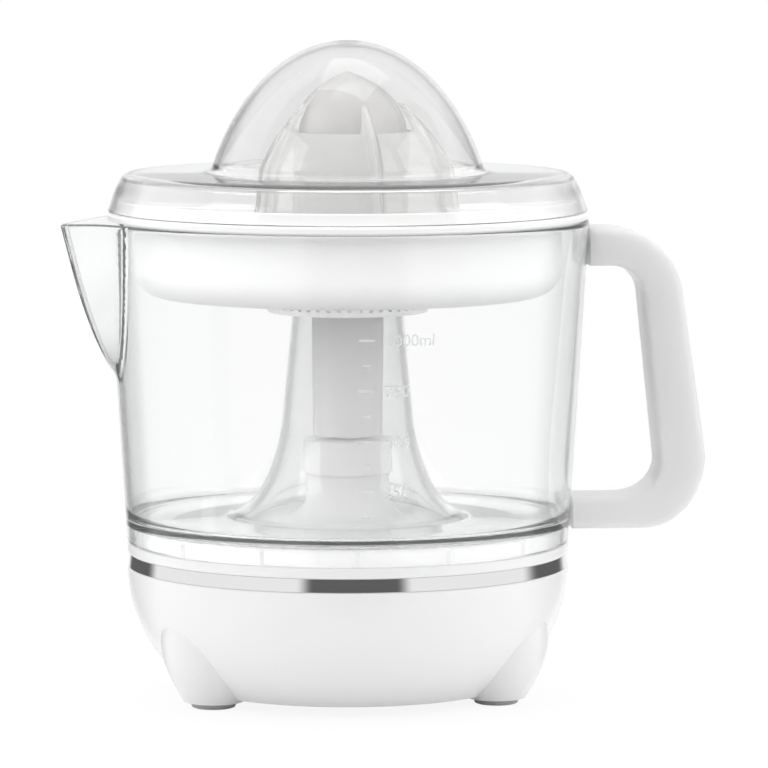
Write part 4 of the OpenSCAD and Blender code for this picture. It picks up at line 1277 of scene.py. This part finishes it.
@dataclass
class Reamers:
    """Nested reamers: a smoky small cone on the driven stem, and a clear large cone over it."""

    shelf: FinishShelf
    ribs: int = 5
    rib_phase: float = -5.5
    small_r: float = 19.5
    large_r: float = 37.9
    valley: float = 0.80
    wall: float = 1.7
    blade_r: float = 20.0
    blade_w: float = 1.7

    def ridge(self, a: float, r: float, sharpness: float) -> float:
        """How much of a rib shows at an angle.

        Args:
            a: Angle about the axis.
            r: Radius there, in millimetres.
            sharpness: Half-width of the rib's crest, in millimetres.

        Returns:
            1 on a crest and 0 in a valley.
        """
        away = off_rib(a, self.ribs, self.rib_phase)
        crest = math.exp(-(away * max(r, 3.0) / sharpness) ** 2)
        swell = 0.5 + 0.5 * math.cos(away * self.ribs)
        return min(1.0, 0.72 * crest + 0.28 * swell)

    def blade(self, a: float) -> float:
        """How high the large reamer's edge rises at an angle, to a narrow blade at each rib.

        Args:
            a: Angle about the axis.

        Returns:
            1 at the middle of a rib and 0 away from it.
        """
        away = off_rib(a, self.ribs, self.rib_phase)
        return math.exp(-(away * self.blade_r / self.blade_w) ** 4)

    def ribbed(self, valley: float, sharpness: float, inset: float) -> RadiusRule:
        """Gives a radius rule with the reamer's ribs.

        Args:
            valley: Radius between two ribs, as a share of the crest's.
            sharpness: Half-width of a crest, in millimetres.
            inset: How far the face lies inside the outer one.

        Returns:
            The rule.
        """
        def rule(r: float, z: float, a: float) -> float:
            """Radius between the valley and the crest."""
            return max(r * (valley + (1 - valley) * self.ridge(a, r, sharpness)) - inset, 0.3)
        return rule

    def small(self) -> None:
        """Makes the small reamer with its hollow stem."""
        top = level("reamer_small", True)
        stem_low = level("reamer_small", False)
        skirt = stem_low + 54.7
        crown = bezier((self.small_r, top - 24.0), (self.small_r + 1.0, top - 7.0), (0.8, top - 0.1), 26)
        bm = bmesh.new()
        angles = even_angles(300)
        ribbed = [(self.small_r, skirt + up) for up in (-1.4, 6.0, 20.0)] + crown
        stem = [(12.0, skirt - 1.4), (11.9, skirt - 4.0), (11.3, stem_low + 0.5), (10.9, stem_low),
                (9.9, stem_low), (9.5, stem_low + 0.5), (9.7, stem_low + 22.0),
                (9.8, top - 16.0), (6.0, top - 10.0), (0.0, top - 8.5)]
        rings = [add_ring(bm, r, z, angles) for r, z in reversed(stem)]
        rings += [add_ring(bm, r, z, angles, self.ribbed(0.93, 2.2, 0.0)) for r, z in ribbed]
        rings.append(add_ring(bm, 0.0, top - 0.05, angles))
        add_skin(bm, rings, False)
        piece = finish_mesh(bm, "small_reamer_cone", 50.0)
        self.shelf.dress(piece, Finish.SMOKE_SAN)
        # Painted light: the stem's faces get the whiter copy of the smoky finish.
        self.shelf.dress_part(piece, Finish.PAINTED_LIGHT_STEM_SAN, lambda c: c.z < (skirt - 1.5) * MM)
        place(piece, "small_reamer", "smoke_san", "reamer_small")

    def large(self) -> None:
        """Makes the large reamer, whose open top rises to a point at each rib."""
        top = level("reamer_large", True)
        low = level("reamer_large", False) + 1.0
        rows = 30
        outline = smooth_line([(self.large_r, low + 6.0), (37.0, top - 36.0), (35.9, top - 28.0),
                               (34.3, top - 20.0), (32.6, top - 17.0), (29.3, top - 12.0),
                               (25.1, top - 7.0), (21.5, top - 3.2), (18.0, top - 0.1)], rows)
        outer_rule = self.ribbed(self.valley, 1.7, 0.0)
        inner_rule = self.ribbed(self.valley, 1.9, self.wall)
        bm = bmesh.new()
        rings = [[] for _ in range(2 * rows + 4)]
        for a in even_angles(360):
            share = 0.77 + 0.23 * self.blade(a)
            path = []
            for i in range(rows + 1):
                t = i / rows * share * rows
                j = min(int(t), rows - 1)
                path.append(between(outline[j], outline[j + 1], t - j))
            outer = [(self.large_r, low)] + path
            inner = list(reversed(outer))
            for i, (r, z) in enumerate(outer):
                real = outer_rule(r, z, a)
                rings[i].append(bm.verts.new((real * math.cos(a), real * math.sin(a), z)))
            for i, (r, z) in enumerate(inner):
                real = inner_rule(r, z, a)
                rings[rows + 2 + i].append(bm.verts.new((real * math.cos(a), real * math.sin(a), z)))
        add_skin(bm, rings, True)
        piece = finish_mesh(bm, "large_reamer_cone", 50.0)
        self.shelf.dress(piece, Finish.CONE_SAN)
        place(piece, "large_reamer", "clear_san", "reamer_large")

    def build(self) -> None:
        """Makes both reamers."""
        self.small()
        self.large()


@dataclass
class DustCover:
    """Clear dust cover: a rounded skirt, a flat brim and a tall dome with a gate dimple at its apex."""

    shelf: FinishShelf
    wall: float = 1.8
    edge_r: float = 78.0
    dome_r: float = 49.0
    dome_h: float = 72.3
    dimple_r: float = 4.0

    def build(self) -> None:
        """Makes the cover as one closed wall."""
        low = level("dust_cover", False)
        apex = level("dust_cover", True)
        brim = low + 12.5
        middle = apex - self.dome_h
        join = math.degrees(math.asin((brim + 1.6 - middle) / self.dome_h))
        side = [(self.edge_r - 0.5, low), (self.edge_r, low + 0.4), (77.5, low + 1.8), (76.9, low + 3.8),
                (76.2, low + 5.8), (75.4, low + 7.6), (74.5, low + 9.6)]
        side += bezier((73.9, low + 10.5), (72.9, brim), (70.4, brim), 8)
        dome = arc((0.0, middle), (self.dome_r, self.dome_h), join, 90, 44)
        root = bezier((48.2, brim), (46.4, brim), dome[0], 5)[:-1]
        dome = [point for point in dome if point[0] > self.dimple_r + 0.5]
        dome += [(self.dimple_r, apex - 0.26), (self.dimple_r - 0.5, apex - 0.36),
                 (self.dimple_r - 1.0, apex - 0.62), (1.2, apex - 0.74), (0.0, apex - 0.76)]
        wall = self.wall
        inner_join = math.degrees(math.asin((brim - 0.2 - middle) / (self.dome_h - wall)))
        inner = arc((0.0, middle), (self.dome_r - wall, self.dome_h - wall), 90, inner_join, 44)
        inner[0] = (0.0, apex - wall)
        inner += bezier((45.0, brim - wall + 0.4), (45.8, brim - wall), (47.4, brim - wall), 3)
        inner += bezier((69.6, brim - wall), (71.6, brim - wall), (72.3, low + 9.4), 8)
        inner += [(73.4, low + 7.4), (74.4, low + 5.6), (75.1, low + 3.8), (75.7, low + 1.8), (76.3, low)]
        piece = turned("dust_cover_dome", side + root + dome + inner, segments=256, sharp=50.0)
        # Painted shade: this finish greys the middle of the dome.
        self.shelf.dress(piece, Finish.SHADED_COVER_SAN)
        place(piece, "cover", "clear_san", "dust_cover")


@dataclass
class Internals:
    """Pieces inside the base, which keep their CAD solids."""

    shelf: FinishShelf

    def build(self, nodes: dict[str, bpy.types.Object]) -> None:
        """Gives each inner solid its finish.

        Args:
            nodes: The frame's CAD objects by name.
        """
        finishes = {
            Finish.WHITE_ABS: ("bottom_cover",),
            Finish.BRONZE: ("shaft_bush",),
            Finish.RUBBER: ("shaft_seal", "cable_inlet", "rubber_feet"),
            Finish.STEEL: ("return_spring", "idler_pin", "rotor_shaft", "cover_screws", "plate_screws"),
            Finish.NYLON: ("drive_shaft", "output_gear", "idler_gear", "coil_bobbins"),
            Finish.GREY_ABS: ("gear_plate",),
            Finish.CORE_STEEL: ("motor_core", "lower_bracket"),
            Finish.COPPER: ("windings",),
            Finish.FERRITE: ("rotor_magnet",),
            Finish.BLACK_ABS: ("switch_body",),
            Finish.RED_ABS: ("switch_plunger",),
            Finish.CLEAR_SAN: ("jug", "dust_cover", "reamer_large", "reamer_small"),
            Finish.STRAINER_ABS: ("strainer", "base_housing", "top_cover"),
            Finish.CHROME: ("chrome_ring",),
            Finish.FROSTED_PP: ("handle",),
        }
        for finish, names in finishes.items():
            for name in names:
                self.shelf.dress(nodes[name], finish)
        log.info("%d solids dressed", sum(len(names) for names in finishes.values()))


# ---- Studio ------------------------------------------------------------------------------


@dataclass
class Studio:
    """White sweep, soft light and the camera, in metres and degrees.

    A lobe is two cosines of the angle from the way it points: where it starts, and where it is full.
    """

    floor_half: float = 6.0
    floor_glow: float = 0.9
    floor_fade: Point = (0.08, 0.35)
    dark_cards: tuple[tuple[float, float, float], ...] = (
        (4.0, 0.86, 0.93), (-143.0, 0.90, 0.97), (132.0, 0.88, 0.975))
    azimuth: float = -5.5
    tilt: float = 5.7
    distance: float = 1.766
    lens: float = 253.4
    aim: tuple[float, float, float] = (0.0118, -0.001, 0.1017)
    front_lobe: Point = (-0.3, 1.0)
    side_light: float = 1.15
    front_light: float = 0.5
    mirror_light: float = 0.95
    mirror_dark: float = 0.13
    white_lobe: Point = (0.86, 0.985)
    grey_lobe: Point = (0.55, 0.78)
    down_lobe: Point = (0.2, 0.42)
    bent_light: float = 0.5
    wide_light: float = 0.82
    inside_light: float = 3.0
    inside_front: float = 2.4

    def floor(self) -> None:
        """Makes the white floor, which keeps the press's shadow."""
        bm = bmesh.new()
        bmesh.ops.create_grid(bm, x_segments=8, y_segments=8, size=self.floor_half)
        mesh = bpy.data.meshes.new("studio_floor")
        bm.to_mesh(mesh)
        bm.free()
        piece = bpy.data.objects.new("studio_floor", mesh)
        bpy.context.scene.collection.objects.link(piece)
        material = bare_material("white_paper")
        tree = material.node_tree
        paper = put(tree, "ShaderNodeBsdfDiffuse", {}, {"Color": linear("#FAFAFA")})
        glow = put(tree, "ShaderNodeEmission", {}, {"Color": WHITE, "Strength": 1.0})
        ray = put(tree, "ShaderNodeLightPath")
        either = put(tree, "ShaderNodeMath", {"operation": "MAXIMUM"},
                     {0: ray.outputs["Is Camera Ray"], 1: ray.outputs["Is Transmission Ray"]})
        place_on = put(tree, "ShaderNodeTexCoord")
        away = put(tree, "ShaderNodeVectorMath", {"operation": "LENGTH"}, {0: place_on.outputs["Object"]})
        fade = put(tree, "ShaderNodeMapRange", {"interpolation_type": "SMOOTHSTEP"},
                   {"Value": away.outputs["Value"], "From Min": self.floor_fade[0],
                    "From Max": self.floor_fade[1], "To Min": self.floor_glow, "To Max": 1.0})
        share = put(tree, "ShaderNodeMath", {"operation": "MULTIPLY"},
                    {0: either.outputs[0], 1: fade.outputs["Result"]})
        mixed = put(tree, "ShaderNodeMixShader", {},
                    {0: share.outputs[0], 1: paper.outputs["BSDF"], 2: glow.outputs["Emission"]})
        first = put(tree, "ShaderNodeMath", {"operation": "LESS_THAN"},
                    {0: ray.outputs["Diffuse Depth"], 1: 0.5})
        sharp = put(tree, "ShaderNodeMath", {"operation": "MAXIMUM"},
                    {0: ray.outputs["Is Transmission Ray"], 1: ray.outputs["Is Glossy Ray"]})
        through = put(tree, "ShaderNodeMath", {"operation": "MULTIPLY"},
                      {0: sharp.outputs[0], 1: first.outputs[0]})
        open_air = put(tree, "ShaderNodeBsdfTransparent", {}, {"Color": WHITE})
        layered = put(tree, "ShaderNodeMixShader", {},
                      {0: through.outputs[0], 1: mixed.outputs["Shader"], 2: open_air.outputs["BSDF"]})
        put(tree, "ShaderNodeOutputMaterial", {}, {"Surface": layered.outputs["Shader"]})
        mesh.materials.append(material)

    def world(self) -> None:
        """Sets the surrounding light.

        The eye sees plain white. Lamps and matt surfaces see a room that is dimmer in front than at
        the sides. Polished surfaces see the same room with dark cards, which draw the bands on the
        chrome. Clear plastic sees a white background straight behind and a greyer one beside it,
        which draws its edges.
        """
        world = bpy.data.worlds.new("studio")
        bpy.context.scene.world = world
        world.use_nodes = True
        tree = world.node_tree
        tree.nodes.clear()
        ray = put(tree, "ShaderNodeLightPath")
        sky = put(tree, "ShaderNodeTexCoord")
        front = self.towards(tree, sky, self.azimuth, self.front_lobe)
        room = put(tree, "ShaderNodeMapRange", {},
                   {"Value": front, "To Min": self.side_light, "To Max": self.front_light})
        mirror = self.mirror_room(tree, sky)
        kind = put(tree, "ShaderNodeMix", {},
                   {0: ray.outputs["Is Glossy Ray"], 2: room.outputs["Result"], 3: mirror})
        soft = put(tree, "ShaderNodeBackground", {}, {"Color": WHITE, "Strength": kind.outputs[0]})
        inside = put(tree, "ShaderNodeMath", {"operation": "GREATER_THAN"},
                     {0: ray.outputs["Diffuse Depth"], 1: 0.5})
        indoors = put(tree, "ShaderNodeMapRange", {},
                      {"Value": front, "To Min": self.inside_light, "To Max": self.inside_front})
        through = put(tree, "ShaderNodeMix", {},
                      {0: inside.outputs[0], 2: self.bent_room(tree, sky), 3: indoors.outputs["Result"]})
        clear = put(tree, "ShaderNodeBackground", {}, {"Color": WHITE, "Strength": through.outputs[0]})
        seen = put(tree, "ShaderNodeMath", {"operation": "MAXIMUM"},
                   {0: ray.outputs["Is Camera Ray"], 1: ray.outputs["Is Transmission Ray"]})
        mixed = put(tree, "ShaderNodeMixShader", {},
                    {0: seen.outputs[0], 1: soft.outputs["Background"], 2: clear.outputs["Background"]})
        put(tree, "ShaderNodeOutputWorld", {}, {"Surface": mixed.outputs["Shader"]})

    def mirror_room(self, tree: bpy.types.NodeTree, sky: bpy.types.Node) -> bpy.types.NodeSocket:
        """Brightness of the room as polished surfaces show it, with its three dark cards.

        Args:
            tree: The world's node tree.
            sky: Its texture coordinates.

        Returns:
            The brightness.
        """
        cards = [self.towards(tree, sky, self.azimuth + turn, (low, high))
                 for turn, low, high in self.dark_cards]
        back_pair = put(tree, "ShaderNodeMath", {"operation": "MAXIMUM"}, {0: cards[1], 1: cards[2]})
        dark = put(tree, "ShaderNodeMath", {"operation": "MAXIMUM"}, {0: cards[0], 1: back_pair.outputs[0]})
        bright = put(tree, "ShaderNodeMapRange", {},
                     {"Value": dark.outputs[0], "To Min": self.mirror_light, "To Max": self.mirror_dark})
        return bright.outputs["Result"]

    def bent_room(self, tree: bpy.types.NodeTree, sky: bpy.types.Node) -> bpy.types.NodeSocket:
        """Brightness of the room as clear plastic shows it, darkest a little to each side of the back.

        Args:
            tree: The world's node tree.
            sky: Its texture coordinates.

        Returns:
            The brightness.
        """
        back = self.azimuth + 180.0
        behind = self.towards(tree, sky, back, self.white_lobe)
        near = self.towards(tree, sky, back, self.grey_lobe)
        down = put(tree, "ShaderNodeVectorMath", {"operation": "DOT_PRODUCT"},
                   {0: sky.outputs["Generated"], 1: (0.0, 0.0, -1.0)})
        level_ways = put(tree, "ShaderNodeMapRange", {"interpolation_type": "SMOOTHSTEP"},
                         {"Value": down.outputs["Value"], "From Min": self.down_lobe[0],
                          "From Max": self.down_lobe[1], "To Min": 1.0, "To Max": 0.0})
        grey = put(tree, "ShaderNodeMath", {"operation": "MULTIPLY"},
                   {0: near, 1: level_ways.outputs["Result"]})
        wide = put(tree, "ShaderNodeMapRange", {},
                   {"Value": grey.outputs[0], "To Min": self.wide_light, "To Max": self.bent_light})
        bent = put(tree, "ShaderNodeMix", {}, {0: behind, 2: wide.outputs["Result"], 3: 1.0})
        return bent.outputs[0]

    def towards(self, tree: bpy.types.NodeTree, sky: bpy.types.Node, turn: float,
                lobe: Point) -> bpy.types.NodeSocket:
        """How closely a direction of the sky points one way along the table.

        Args:
            tree: The world's node tree.
            sky: Its texture coordinates.
            turn: The way, in degrees round from the front.
            lobe: Cosines at which the result starts to rise from 0 and reaches 1.

        Returns:
            A value from 0 to 1.
        """
        a = math.radians(turn)
        dot = put(tree, "ShaderNodeVectorMath", {"operation": "DOT_PRODUCT"},
                  {0: sky.outputs["Generated"], 1: (math.sin(a), -math.cos(a), 0.0)})
        rise = put(tree, "ShaderNodeMapRange", {"interpolation_type": "SMOOTHSTEP"},
                   {"Value": dot.outputs["Value"], "From Min": lobe[0], "From Max": lobe[1]})
        return rise.outputs["Result"]

    def lamp(self, name: str, at: tuple[float, float, float], size: float, watts: float) -> None:
        """Adds one soft area lamp aimed at the press.

        Args:
            name: Name of the lamp.
            at: Its place in metres.
            size: Side of its square face in metres.
            watts: Its power.
        """
        data = bpy.data.lights.new(name, "AREA")
        data.size = size
        data.energy = watts
        lamp = bpy.data.objects.new(name, data)
        bpy.context.scene.collection.objects.link(lamp)
        lamp.visible_glossy = False
        lamp.location = at
        aim = Vector((0.0, 0.0, 0.1)) - Vector(at)
        lamp.rotation_euler = aim.to_track_quat("-Z", "Y").to_euler()

    def camera(self) -> None:
        """Makes the camera, a long lens from the front and a little above."""
        data = bpy.data.cameras.new("camera")
        data.lens = self.lens
        data.sensor_width = 36.0
        data.clip_start = 0.05
        data.clip_end = 30.0
        camera = bpy.data.objects.new("camera", data)
        bpy.context.scene.collection.objects.link(camera)
        a, e = math.radians(self.azimuth), math.radians(self.tilt)
        back = Vector((math.sin(a) * math.cos(e), -math.cos(a) * math.cos(e), math.sin(e)))
        camera.location = Vector(self.aim) + back * self.distance
        camera.rotation_mode = "QUATERNION"
        camera.rotation_quaternion = (-back).to_track_quat("-Z", "Y")
        bpy.context.scene.camera = camera

    def build(self) -> None:
        """Makes the floor, light and camera."""
        self.floor()
        self.world()
        self.lamp("left_softbox", (-1.3, -0.5, 0.9), 0.9, 4.5)
        self.lamp("right_softbox", (1.3, -0.5, 0.8), 0.9, 4.0)
        self.lamp("top_softbox", (0.1, 0.2, 1.6), 1.0, 4.5)
        self.camera()
        bpy.context.scene.view_settings.view_transform = "Standard"


def main() -> None:
    """Builds the press and its studio."""
    logging.basicConfig(level=logging.INFO, format="%(name)s: %(message)s")
    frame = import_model()
    shelf = FinishShelf()
    Studio().build()
    Internals(shelf).build(frame["nodes"])
    Base(shelf).build()
    jug = Jug(shelf)
    jug.build()
    Handle(shelf, jug=jug).build()
    Strainer(shelf).build()
    Reamers(shelf).build()
    DustCover(shelf).build()


if __name__ == "__main__":
    main()
